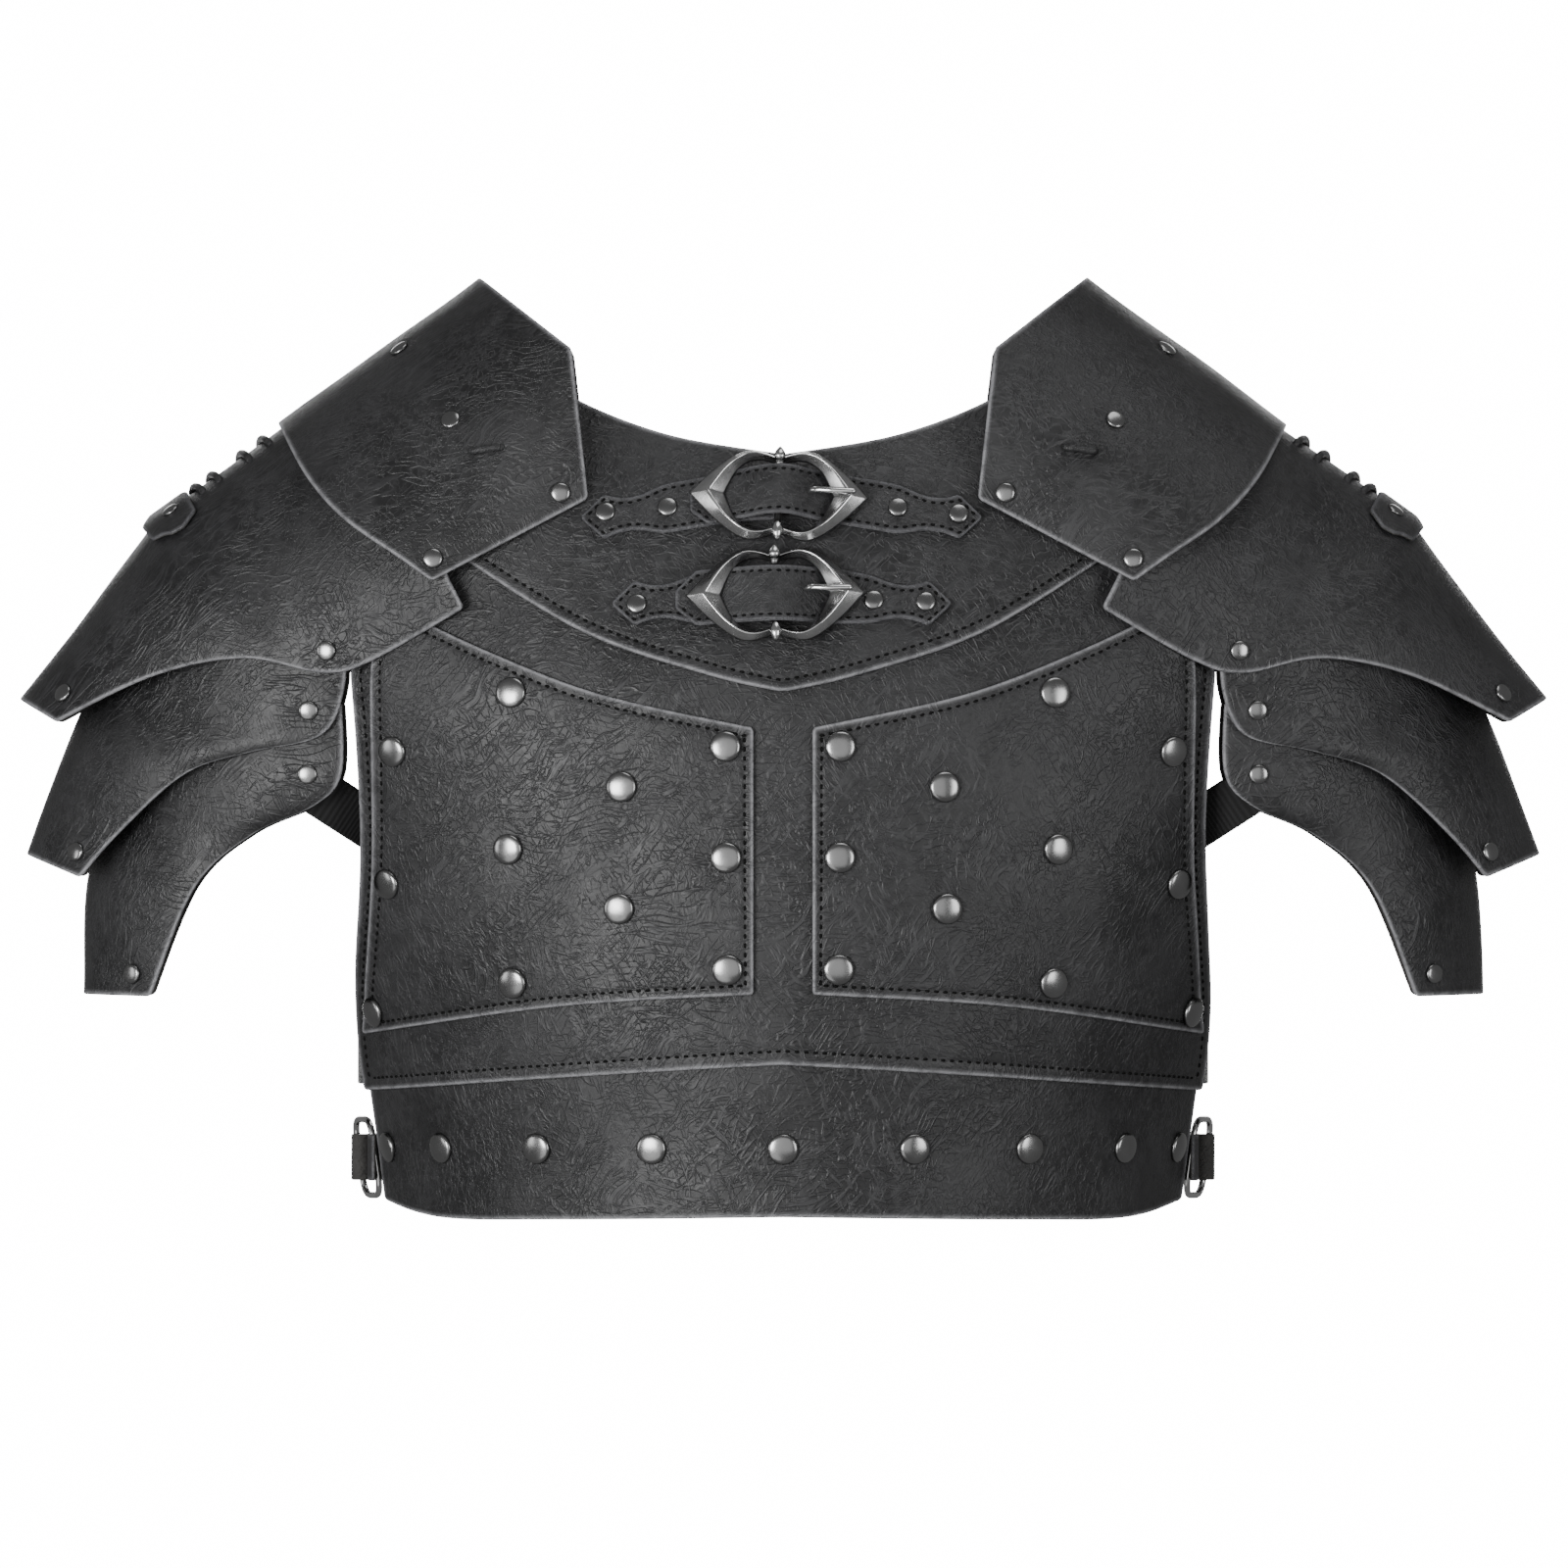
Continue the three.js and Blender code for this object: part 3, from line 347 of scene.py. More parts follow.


# Waxed pull-up leather, drum dyed black and pressed: a satin black with grey wax clouds, patches of
# fine wrinkles paled partly by the pull-up wax and partly by a painted highlight, a pale edge band
# of rubbed wear and painted highlight, and a dull brushed flesh side.
def waxed_leather(name, dark, pale, edge_colour, wrinkle_mm):
    material, tree, shader = new_material(name)
    place = add_node(tree, "TexCoord", "Object")
    clouds = add_node(tree, "TexNoise", "Fac", {"Vector": place, "Scale": 1 / (40 * MM), "Detail": 4})
    mottle = add_node(tree, "TexNoise", "Fac", {"Vector": place, "Scale": 1 / (5 * MM), "Detail": 6})
    # Wrinkles: three layers of short strokes, each bent by a slow sway and strong only in patches
    sway = add_node(tree, "TexNoise", "Color", {"Vector": place, "Scale": 1 / (40 * MM), "Detail": 2})
    bent = add_node(
        tree, "VectorMath", "Vector", {0: sway, 1: (20 * MM,) * 3, 2: place}, operation="MULTIPLY_ADD"
    )
    blotches = add_node(tree, "TexNoise", "Color", {"Vector": place, "Scale": 1 / (30 * MM), "Detail": 3})
    patches = add_node(tree, "SeparateColor", "Red", {"Color": blotches}).node.outputs
    wrinkles = 0.0
    for turn, stretch, size_mm, patch in (
        (0.7, 10, wrinkle_mm, patches[0]),
        (-0.5, 8, 0.75 * wrinkle_mm, patches[1]),
        (1.6, 8, 0.85 * wrinkle_mm, patches[2]),
    ):
        drawn = add_node(
            tree, "Mapping", "Vector",
            {"Vector": bent, "Rotation": (0.2, turn, 0.1), "Scale": (1, 1, stretch)},
            vector_type="TEXTURE",
        )
        strokes = add_node(
            tree, "TexNoise", "Fac", {"Vector": drawn, "Scale": 1 / (size_mm * MM), "Detail": 1}
        )
        signed = add_node(tree, "Math", "Value", {0: strokes, 1: 0.5}, operation="SUBTRACT")
        away = add_node(tree, "Math", "Value", {0: signed}, operation="ABSOLUTE")
        line = add_node(
            tree, "MapRange", "Result",
            {"Value": away, "From Min": 0.0, "From Max": 0.06, "To Min": 1.0, "To Max": 0.0},
            interpolation_type="SMOOTHSTEP",
        )
        strength = add_node(
            tree, "MapRange", "Result",
            {"Value": patch, "From Min": 0.43, "From Max": 0.58, "To Min": 0.3, "To Max": 1.0},
            interpolation_type="SMOOTHSTEP",
        )
        stroke = add_node(tree, "Math", "Value", {0: line, 1: strength}, operation="MULTIPLY")
        wrinkles = add_node(tree, "Math", "Value", {0: stroke, 1: wrinkles}, operation="MAXIMUM")
    # Colour: dyed body with paler wax clouds, then the wrinkles (pull-up paling and painted highlight),
    # the edge band (rubbed wear and painted highlight) and the flesh side
    broad = add_node(tree, "Math", "Value", {0: clouds, 1: 0.65}, operation="MULTIPLY")
    tone = add_node(tree, "Math", "Value", {0: mottle, 1: 0.35, 2: broad}, operation="MULTIPLY_ADD")
    wax = add_node(
        tree, "MapRange", "Result", {"Value": tone, "From Min": 0.38, "From Max": 0.62},
        interpolation_type="SMOOTHSTEP",
    )
    body = add_node(
        tree, "Mix", "Result", {"Factor": wax, "A": linear(dark), "B": linear(pale)}, data_type="RGBA"
    )
    # Paler crease lines: pull-up paling of the wax and a painted highlight on the wrinkles
    crease_paling_and_highlight = add_node(tree, "Math", "Value", {0: wrinkles, 1: 0.24}, operation="MULTIPLY")
    creases_paled_and_highlit = add_node(
        tree, "Mix", "Result", {"Factor": crease_paling_and_highlight, "A": body, "B": linear("#4c4c4e")}, data_type="RGBA"
    )
    # Pale edge band: rubbed wear and a painted highlight, broken up by the mottle
    wear_and_highlight = add_node(tree, "Attribute", "Fac", attribute_name="edge_wear_and_highlight")
    uneven = add_node(
        tree, "MapRange", "Result",
        {"Value": mottle, "From Min": 0.3, "From Max": 0.6, "To Min": 0.55, "To Max": 1.0},
        interpolation_type="SMOOTHSTEP",
    )
    rubbed_and_highlit = add_node(tree, "Math", "Value", {0: wear_and_highlight, 1: uneven}, operation="MULTIPLY")
    edged = add_node(
        tree, "Mix", "Result", {"Factor": rubbed_and_highlit, "A": creases_paled_and_highlit, "B": linear(edge_colour)},
        data_type="RGBA",
    )
    nap = add_node(
        tree, "Mix", "Result",
        {"Factor": mottle, "A": linear("#2c2b2a"), "B": linear("#4e4d4b")}, data_type="RGBA",
    )
    flesh = add_node(tree, "Attribute", "Fac", attribute_name="flesh_side")
    colour = add_node(tree, "Mix", "Result", {"Factor": flesh, "A": edged, "B": nap}, data_type="RGBA")
    tree.links.new(colour, shader.inputs["Base Color"])
    satin = add_node(
        tree, "MapRange", "Result",
        {"Value": tone, "From Min": 0.35, "From Max": 0.65, "To Min": 0.42, "To Max": 0.54},
        interpolation_type="SMOOTHSTEP",
    )
    rough = add_node(tree, "Math", "Value", {0: flesh, 1: 0.4, 2: satin}, operation="MULTIPLY_ADD")
    tree.links.new(rough, shader.inputs["Roughness"])
    # Relief: wrinkles, then the mottle and the pores of the grain
    pores = add_node(tree, "TexNoise", "Fac", {"Vector": place, "Scale": 1 / (0.9 * MM), "Detail": 3})
    coarse = add_node(tree, "Math", "Value", {0: mottle, 1: 0.45, 2: wrinkles}, operation="MULTIPLY_ADD")
    relief = add_node(tree, "Math", "Value", {0: pores, 1: 0.25, 2: coarse}, operation="MULTIPLY_ADD")
    bump = add_node(tree, "Bump", "Normal", {"Height": relief, "Strength": 0.6, "Distance": 0.45 * MM})
    tree.links.new(bump, shader.inputs["Normal"])
    return material


# Its pale edge colour is rubbed wear and a painted highlight
plate_leather = waxed_leather("black waxed pull-up leather", "#19191a", "#29292a", "#868689", 3.4)

CHEST_SWELL = {"seed": 3, "wave": 55, "height": 0.22}  # mm, the same for all sheets of the chest
BASE_SIDE = (
    [(172, -273.6), (175.6, -236), (173.2, -165), (176.8, -102.4)],
    [(176.8, -102.4), (166, -70), (132, -46)],
)
HEM_INSET, SIDE_INSET = 5.2, 4.0
base_face = chest_sheet(
    both_sides([(0, -262.4), (70.4, -266.4), (172, -273.6)]),
    edge(*BASE_SIDE),
    both_sides([(0, -92), (80, -70), (132, -46)]),
    edge(*[mirrored(stretch) for stretch in BASE_SIDE]),
    LEATHER,
)


def chest_rise(points):
    return unevenness(points, **CHEST_SWELL)


def base_relief(points, sides):
    return (
        chest_rise(points)
        + sewn_groove(sides["bottom"], HEM_INSET)
        + sewn_groove(np.minimum(sides["left"], sides["right"]), SIDE_INSET)
    )


leather_piece(
    "base_panel_leather", base_face, CHEST_MIDDLE, LEATHER, plate_leather, "black_leather",
    ["base_panel"], relief=base_relief,
)


# Thread: black waxed polyester, sewn in a straight lock stitch that sinks into the leather.
# Every stitch is a short round bar whose ends dive into the needle holes.
STITCH = {"pitch": 3.8, "length": 2.3, "radius": 0.55, "sunk": 0.2}

# Waxed thread: almost black with a dull shine along each stitch.
thread, tree, shader = new_material("black waxed thread")
shader.inputs["Roughness"].default_value = 0.7
shader.inputs["Specular IOR Level"].default_value = 0.15
twist = add_node(
    tree, "TexNoise", "Fac", {"Vector": add_node(tree, "TexCoord", "Object"), "Scale": 1 / (0.8 * MM)}
)
strand = add_node(
    tree, "Mix", "Result",
    {"Factor": twist, "A": linear("#030303"), "B": linear("#0c0c0c")}, data_type="RGBA",
)
tree.links.new(strand, shader.inputs["Base Color"])


def stacked_faces(rings, sides):
    """Faces of a stack of rings of points between a first and a last pole."""
    faces = []
    top = rings * sides + 1
    last = top - sides
    for k in range(sides):
        n = (k + 1) % sides
        faces += [(0, 1 + n, 1 + k), (top, last + k, last + n)]
        for a in range(1, last, sides):
            b = a + sides
            faces.append((a + k, a + n, b + n, b + k))
    return faces


def turned(profile, sides):
    """Points and faces of a turned form about z, from radius and height pairs between two poles."""
    (_, low), *rings, (_, high) = profile
    angles = np.linspace(0, 2 * np.pi, sides, endpoint=False)
    body = [(r * math.cos(a), r * math.sin(a), h) for r, h in rings for a in angles]
    return np.array([(0, 0, low), *body, (0, 0, high)], float), stacked_faces(len(rings), sides)


def scatter(template, faces, centres, axes):
    """Copies of a small form, each at a centre with its own three axes."""
    placed = centres[:, None, :] + np.einsum("mk,nkc->nmc", template, axes)
    size = len(template)
    copies = [tuple(c + size * i for c in corners) for i in range(len(centres)) for corners in faces]
    return placed.reshape(-1, 3), copies


def stitch_places(points, normals, pitch):
    """Centres and axes of stitches spread along a sewn line."""
    along = np.append(0, np.cumsum(np.linalg.norm(np.diff(points, axis=0), axis=1)))
    count = max(1, round(along[-1] / pitch))
    middle = (np.arange(count) + 0.5) * along[-1] / count

    def at(values, place):
        return np.stack([np.interp(place, along, column) for column in values.T], -1)

    run = unit(at(points, middle + 0.5) - at(points, middle - 0.5))
    out = unit(at(normals, middle))
    side = unit(np.cross(out, run))
    return at(points, middle), np.stack([side, out, run], 1)


def seam(face, within, sides, inset, relief):
    """Points and normals of a sewn line that runs along the named sides of a sheet."""
    width_at, height_at = face_lengths(face)
    share = np.linspace(0, 1, 240)
    runs = []
    for side in sides:
        trim = inset / (width_at(share) if side in ("bottom", "top") else height_at(share)).mean()
        t = trim + (1 - 2 * trim) * share
        u = {"left": inset / width_at(t), "right": 1 - inset / width_at(t)}.get(side, t)
        v = {"bottom": inset / height_at(t), "top": 1 - inset / height_at(t)}.get(side, t)
        runs.append((u, v) if side in ("bottom", "right") else (u[::-1], v[::-1]))
    u, v = (np.concatenate(parts) for parts in zip(*runs))
    points = face(u, v)
    normals, _ = face_normals(face, u, v, within)
    return points + normals * (relief(points)[:, None] - STITCH["sunk"]), normals


def sew(name, lines):
    length, radius = STITCH["length"], STITCH["radius"]
    share = np.array([-0.48, -0.36, -0.15, 0.15, 0.36, 0.48])
    girth = np.array([0.45, 0.85, 1, 1, 0.85, 0.45]) * radius
    profile = [(0, -length / 2), *zip(girth, share * length), (0, length / 2)]
    bar, bar_faces = turned(profile, 6)
    bar[:, 1] -= 1.1 * radius * (2 * bar[:, 2] / length) ** 4
    places = [stitch_places(points, normals, STITCH["pitch"]) for points, normals in lines]
    centres, axes = (np.concatenate(parts) for parts in zip(*places))
    points, faces = scatter(bar, bar_faces, centres, axes)
    make_piece(name, points, faces, thread)


sew("base_panel_stitches", [
    seam(base_face, CHEST_MIDDLE, ["bottom"], HEM_INSET, chest_rise),
    seam(base_face, CHEST_MIDDLE, ["left"], SIDE_INSET, chest_rise),
    seam(base_face, CHEST_MIDDLE, ["right"], SIDE_INSET, chest_rise),
])


# Waist belt: a broad leather band behind the base panel's hem, with a row of round rivets.
# It hangs from the hem seam and ends at the sides in the loops that hold the rings.
BELT_END = [(163.6, -318.4), (170.8, -264)]
BELT_RIVETS = [0, 53.6, 100.4, 139.6, 161.6]  # mm to each side of the middle
BELT_RIVET_Z = -296.6
RIVET_RADIUS = 6.3
BELT_DIMPLE = 0.35  # mm that the leather sinks round a rivet

belt_face = chest_sheet(
    both_sides([(0, -324.4), (92, -325.6), (140, -325.2), (163.6, -318.4)]),
    edge(BELT_END),
    both_sides([(0, -250), (80, -253), (170.8, -264)]),
    edge(mirrored(BELT_END)),
    -SEWN_GAP,
)


def seats_on_chest(x, z, height):
    """Points and outward directions of rivets on a layer of the chest, seen at x and z."""
    angle, level = chest_place(x, z, height)
    return chest_layer(angle, level, height), chest_normal(angle, level)


belt_x = np.array([*[-x for x in BELT_RIVETS[:0:-1]], *BELT_RIVETS], float)
belt_seats, belt_out = seats_on_chest(belt_x, np.full(len(belt_x), BELT_RIVET_Z), -SEWN_GAP)


def belt_relief(points, sides):
    return chest_rise(points) + dimples(points, belt_seats, RIVET_RADIUS, BELT_DIMPLE)


leather_piece(
    "waist_belt_leather", belt_face, CHEST_MIDDLE, LEATHER, plate_leather, "black_leather",
    ["waist_belt"], relief=belt_relief,
)

# Polished nickel plate over a pressed cap: bright, slightly smoky, with a hair of wear in the shine.
nickel, tree, shader = new_material("polished black nickel")
shader.inputs["Metallic"].default_value = 1.0
place = add_node(tree, "TexCoord", "Object")
smoke = add_node(tree, "TexNoise", "Fac", {"Vector": place, "Scale": 1 / (7 * MM), "Detail": 2})
plating = add_node(
    tree, "Mix", "Result",
    {"Factor": smoke, "A": linear("#858585"), "B": linear("#969696")}, data_type="RGBA",
)
tree.links.new(plating, shader.inputs["Base Color"])
shine = add_node(
    tree, "MapRange", "Result",
    {"Value": smoke, "From Min": 0.3, "From Max": 0.7, "To Min": 0.2, "To Max": 0.27},
)
tree.links.new(shine, shader.inputs["Roughness"])

# Cap of a rivet of radius 1: radius and height from the leather up
CAP_PROFILE = [
    (0, -0.06), (0.97, -0.06), (1.0, 0.03), (1.0, 0.1), (0.975, 0.17), (0.92, 0.225), (0.83, 0.27),
    (0.68, 0.308), (0.48, 0.34), (0.24, 0.36), (0, 0.366),
]
CAP_SIDES, CAP_LIFT = 28, 0.05
NO_RIVET_WAY = np.array([0.3, 0.1, 1.0])  # a direction that no rivet points in


def rivet_caps(name, seats, out, radius, nodes=()):
    cap, cap_faces = turned([(r * radius, h * radius) for r, h in CAP_PROFILE], CAP_SIDES)
    side = unit(np.cross(out, NO_RIVET_WAY))
    axes = np.stack([side, np.cross(out, side), out], 1)
    points, faces = scatter(cap, cap_faces, seats + out * CAP_LIFT, axes)
    make_piece(name, points, faces, nickel, nodes)


rivet_caps("waist_belt_rivets", belt_seats, belt_out, RIVET_RADIUS)


# Yoke: the upper panel of leather that runs from the neckline to a pointed lower edge.
# It lies on the base panel and is sewn to it along the point.
YOKE_INSET = 5.0
SHOULDER_END = [(146, 6), (104, 28)]
YOKE_FACE = LAYER + LEATHER  # mm, height of its outer face over the moulded form
yoke_face = chest_sheet(
    both_sides([(0, -110.4), (30.8, -103.4), (83.2, -85.2), (143, -48)], [(143, -48), (146, 6)]),
    edge(SHOULDER_END),
    both_sides([(0, -13.2), (46.8, -5.2), (86, 10.4), (104, 28)]),
    edge(mirrored(SHOULDER_END)),
    YOKE_FACE,
)


def yoke_relief(points, sides):
    return chest_rise(points) + sewn_groove(sides["bottom"], YOKE_INSET)


leather_piece(
    "yoke_leather", yoke_face, CHEST_MIDDLE, LEATHER, plate_leather, "black_leather", ["yoke"],
    relief=yoke_relief,
)
sew("yoke_stitches", [seam(yoke_face, CHEST_MIDDLE, ["bottom"], YOKE_INSET, chest_rise)])


# Chest plates: two leather plates beside the middle line, sewn to the base panel all round.
# Eleven domed rivets hold each one, set in staggered rows.
PLATE_BOTTOM = [(12, -233.8), (92, -238.8), (172.8, -250.4)]
PLATE_OUTER = [(172.8, -250.4), (168.4, -176), (168.4, -100.8), (162, -74)]
PLATE_TOP = [(12, -125), (73.6, -111.6), (120, -94), (162, -74)]
PLATE_INNER = [(12, -233.8), (12, -125)]
PLATE_INSET = 4.0
PLATE_DIMPLE = 0.4
CHEST_RIVETS = np.array([
    (110.8, -110.8), (159.2, -134.8), (23.4, -132.8), (65.8, -149.2), (112, -174.6), (23.2, -178),
    (161.6, -188.8), (66.8, -198.8), (110.2, -229.1), (22.6, -223.6), (167.4, -241.2),
])

SIDES = {"r": np.array([1, 1, 1]), "l": np.array([-1, 1, 1])}  # factors that mirror the right side

for side, over in SIDES.items():
    plate_face = chest_sheet(
        *[
            edge([(over[0] * x, z) for x, z in line])
            for line in (PLATE_BOTTOM, PLATE_OUTER, PLATE_TOP, PLATE_INNER)
        ],
        YOKE_FACE,
    )
    seats, out = seats_on_chest(over[0] * CHEST_RIVETS[:, 0], CHEST_RIVETS[:, 1], YOKE_FACE)

    def plate_relief(points, sides, seats=seats):
        near_edge = np.minimum.reduce(list(sides.values()))
        return (
            chest_rise(points)
            + sewn_groove(near_edge, PLATE_INSET)
            + dimples(points, seats, RIVET_RADIUS, PLATE_DIMPLE)
        )

    name = f"chest_plate_{side}"
    leather_piece(
        f"{name}_leather", plate_face, CHEST_MIDDLE, LEATHER, plate_leather, "black_leather", [name],
        corner=1.8, relief=plate_relief,
    )
    all_round = ["bottom", "right", "top", "left"]
    sew(f"{name}_stitches", [seam(plate_face, CHEST_MIDDLE, all_round, PLATE_INSET, chest_rise)])
    rivet_caps(
        f"chest_rivets_{side}", seats, out, RIVET_RADIUS,
        [f"chest_rivet_{side}_{i + 1}" for i in range(len(CHEST_RIVETS))],
    )


# Strap tabs and straps: two pairs of leather straps across the yoke that buckle at the middle.
# The ends are cut to arrow points, riveted to the yoke, and the two long edges are sewn.
STRAP_LEATHER = 1.8  # mm
STRAP_HEIGHT = 2 * LAYER  # from the moulded form to the inner face of a strap on the yoke
STRAP_INSET = 2.5
SMALL_RIVET = 4.0
STRAP_DIMPLE, STRAP_GROOVE = 0.35, 0.7  # mm, and share of a plate's groove
CLOSURES = [
    {
        "name": "upper", "buckle": (-1.8, -29.8), "tilt": -2.0, "tips": (-82.4, 81.2), "tip_z": -39.2,
        "end": -38, "half": 10.2, "lift": 2.6,
        "rivets": [(-72.4, -37.2), (-47.1, -35.2), (46.7, -35.4), (71.5, -37.9)],
    },
    {
        "name": "lower", "buckle": (-3.2, -70.2), "tilt": 1.0, "tips": (-69.8, 68.7), "tip_z": -74.4,
        "end": -44, "half": 11.3, "lift": 0.4,
        "rivets": [(-59.6, -74.7), (36.9, -73.2), (58.1, -73.8)],
    },
]
RISE_UNIT = 8  # mm of rise over which a strap also moves up by its lift
# Half width of a strap by the distance from its arrow tip, up to where it has its full width
ARROW = np.array([(0, 0.5), (9.4, 9.3), (12, 8.2), (16, 7.1), (21, 6.8), (26, 7.6), (32, 9.6), (36, 10.2)])
FULL_WIDTH_AT = 48
BLUNT_END, BLUNT_SLOPE = 3.5, 0.9  # half width of a strap's inner end, and how fast it widens
# Height of a strap over the yoke by the distance from the buckle's middle
STRAP_RISE = np.array([
    (-90, 2.1), (-24, 2.1), (-14, 4.4), (-7, 7.2), (0, 8.4), (6, 7.2), (13, 3.4), (21, 0), (90, 0),
])

# The same waxed leather, split thinner: finer wrinkles, and dyed edges with a fainter pale band along them
# that is a painted highlight.
strap_leather = waxed_leather("black strap leather", "#1a1a1b", "#2b2b2c", "#505053", 2.8)


def strap_middle(closure, x):
    """Height z of a strap's middle line, which sinks from the buckle to both tips."""
    centre_x, centre_z = closure["buckle"]
    reach = np.where(x < centre_x, closure["tips"][0] - centre_x, closure["tips"][1] - centre_x)
    t = np.clip((x - centre_x) / reach, 0, 1)
    return centre_z + (closure["tip_z"] - centre_z) * t * t * (3 - 2 * t)


def arrow_half(distance, half):
    return np.interp(distance, [*ARROW[:, 0], FULL_WIDTH_AT], [*ARROW[:, 1], half])


def strap_face(closure, first, last, half_at, rise_at):
    """Outer face of a strap on the yoke between two places along x."""

    def face(u, v):
        x = first + (last - first) * u
        rise = rise_at(x)
        z = strap_middle(closure, x) + closure["lift"] * rise / RISE_UNIT + (2 * v - 1) * half_at(x)
        height = STRAP_HEIGHT + STRAP_LEATHER + rise
        angle, level = chest_place(x, z, height)
        return chest_layer(angle, level, height)

    return face


def strap_sheet(name, face, nodes, seats):
    def strap_relief(points, sides):
        near_edge = np.minimum.reduce(list(sides.values()))
        pressed = dimples(points, seats, SMALL_RIVET, STRAP_DIMPLE)
        return pressed + STRAP_GROOVE * sewn_groove(near_edge, STRAP_INSET)

    leather_piece(
        name, face, CHEST_MIDDLE, STRAP_LEATHER, strap_leather, "strap_leather", nodes,
        corner=1.2, step=2.0, relief=strap_relief,
    )


def smooth_table(rows):
    """A function that reads a table of pairs with its corners rounded off."""
    fine = np.linspace(rows[0, 0], rows[-1, 0], 721)
    straight = np.interp(fine, rows[:, 0], rows[:, 1])
    reach = 13
    kernel = np.hanning(2 * reach + 1)
    padded = np.pad(straight, reach, mode="edge")
    soft = np.convolve(padded, kernel / kernel.sum(), mode="valid")
    return lambda place: np.interp(place, fine, soft)


def no_rise(points):
    return np.zeros(len(points))


rise_over_bar = smooth_table(STRAP_RISE)
for closure in CLOSURES:
    name = closure["name"]
    centre_x = closure["buckle"][0]
    left, right = closure["tips"]
    end = closure["end"]
    rivet_x, rivet_z = np.array(closure["rivets"]).T
    seats, out = seats_on_chest(rivet_x, rivet_z, STRAP_HEIGHT + STRAP_LEATHER)

    tab = strap_face(
        closure, left, centre_x - 1,
        lambda x: arrow_half(x - left, closure["half"]), lambda x: 0 * x,
    )
    strap_sheet(f"strap_tab_{name}_leather", tab, [f"strap_tab_{name}"], seats)
    strap = strap_face(
        closure, end, right,
        lambda x: np.minimum(arrow_half(right - x, closure["half"]), BLUNT_END + BLUNT_SLOPE * (x - end)),
        lambda x: rise_over_bar(x - centre_x),
    )
    strap_sheet(f"strap_{name}_leather", strap, [f"strap_{name}"], seats)
    sew(f"strap_{name}_stitches", [
        seam(face, CHEST_MIDDLE, [line], STRAP_INSET, no_rise)
        for face in (strap, tab)
        for line in ("bottom", "top")
    ])
    rivet_caps(f"strap_{name}_rivets", seats, out, SMALL_RIVET)


# Buckles: cast frames with pointed ends, ridged sides and a bead at each cusp, on a centre bar.
# A prong on the bar passes through the strap and rests on the frame's right end.
BUCKLE_OUTER = [(36.4, 0), (28.4, 8.6), (20.4, 15.6), (14.6, 19.0), (10.2, 19.6), (5.2, 18.4), (0, 16.4)]
BUCKLE_WINDOW = [(22.2, 0), (20.2, 5.0), (17.4, 10.4), (13.4, 14.0), (9.4, 15.4), (4.8, 15.0), (0, 13.4)]
FRAME_BOTTOM, FRAME_TOP = 4.4, 9.4  # mm over the strap layer
RIDGE = np.array([(0, 0.72), (8, 0.72), (20, 1)])  # share of that height, by the distance from the bar
BAR = {"radius": 1.5, "height": 3.2, "rise": 3.6}  # straight, but it climbs at its ends
# Prong along the buckle: places along, up and out
PRONG = [
    (2.3, 1.6, 2.4), (9, 1.7, 2.4), (11.4, 1.7, 3.2), (12.8, 1.6, 7.2), (15.5, 1.2, 9.6), (21, 0.6, 10.9),
    (26, 0.4, 11.2), (31.5, 0.4, 11.0),
]
PRONG_RADIUS, PRONG_STEPS = 1.35, 40

# Antique silver plate on cast zinc: bright on the ridges, dark in the hollows, softly scratched.
antique_silver, tree, shader = new_material("antique silver plated casting")
shader.inputs["Metallic"].default_value = 1.0
place = add_node(tree, "TexCoord", "Object")
cast = add_node(tree, "TexNoise", "Fac", {"Vector": place, "Scale": 1 / (4 * MM), "Detail": 5})
hollow = add_node(tree, "Attribute", "Fac", attribute_name="hollow")
stain = add_node(tree, "Math", "Value", {0: cast, 1: 0.5, 2: hollow}, operation="MULTIPLY_ADD")
tarnish = add_node(
    tree, "MapRange", "Result",
    {"Value": stain, "From Min": 0.2, "From Max": 1.1, "To Min": 0.0, "To Max": 1.0},
)
silver = add_node(
    tree, "Mix", "Result",
    {"Factor": tarnish, "A": linear("#cfcfcf"), "B": linear("#454546")}, data_type="RGBA",
)
tree.links.new(silver, shader.inputs["Base Color"])
polish = add_node(
    tree, "MapRange", "Result",
    {"Value": stain, "From Min": 0.2, "From Max": 1.1, "To Min": 0.16, "To Max": 0.5},
)
tree.links.new(polish, shader.inputs["Roughness"])
scuffs = add_node(tree, "Bump", "Normal", {"Height": cast, "Strength": 0.18, "Distance": 0.3 * MM})
tree.links.new(scuffs, shader.inputs["Normal"])


def ogee_ring(quarter, per_quarter):
    """A closed outline with pointed ends and cusps, from the points of its first quarter."""
    line = edge(quarter)
    share = np.linspace(0, len(line) - 1, per_quarter, endpoint=False).round().astype(int)
    first = line[share]
    back = line[::-1][share]
    return np.vstack([
        first, back * (-1, 1), first * (-1, -1), back * (1, -1),
    ])


def ring_faces(loops, count):
    """Quads of a closed ring whose section has that many loops."""
    faces = []
    for section in range(count):
        onward = (section + 1) % count
        for loop in range(loops):
            after = (loop + 1) % loops
            faces.append((
                section * loops + loop, section * loops + after,
                onward * loops + after, onward * loops + loop,
            ))
    return faces


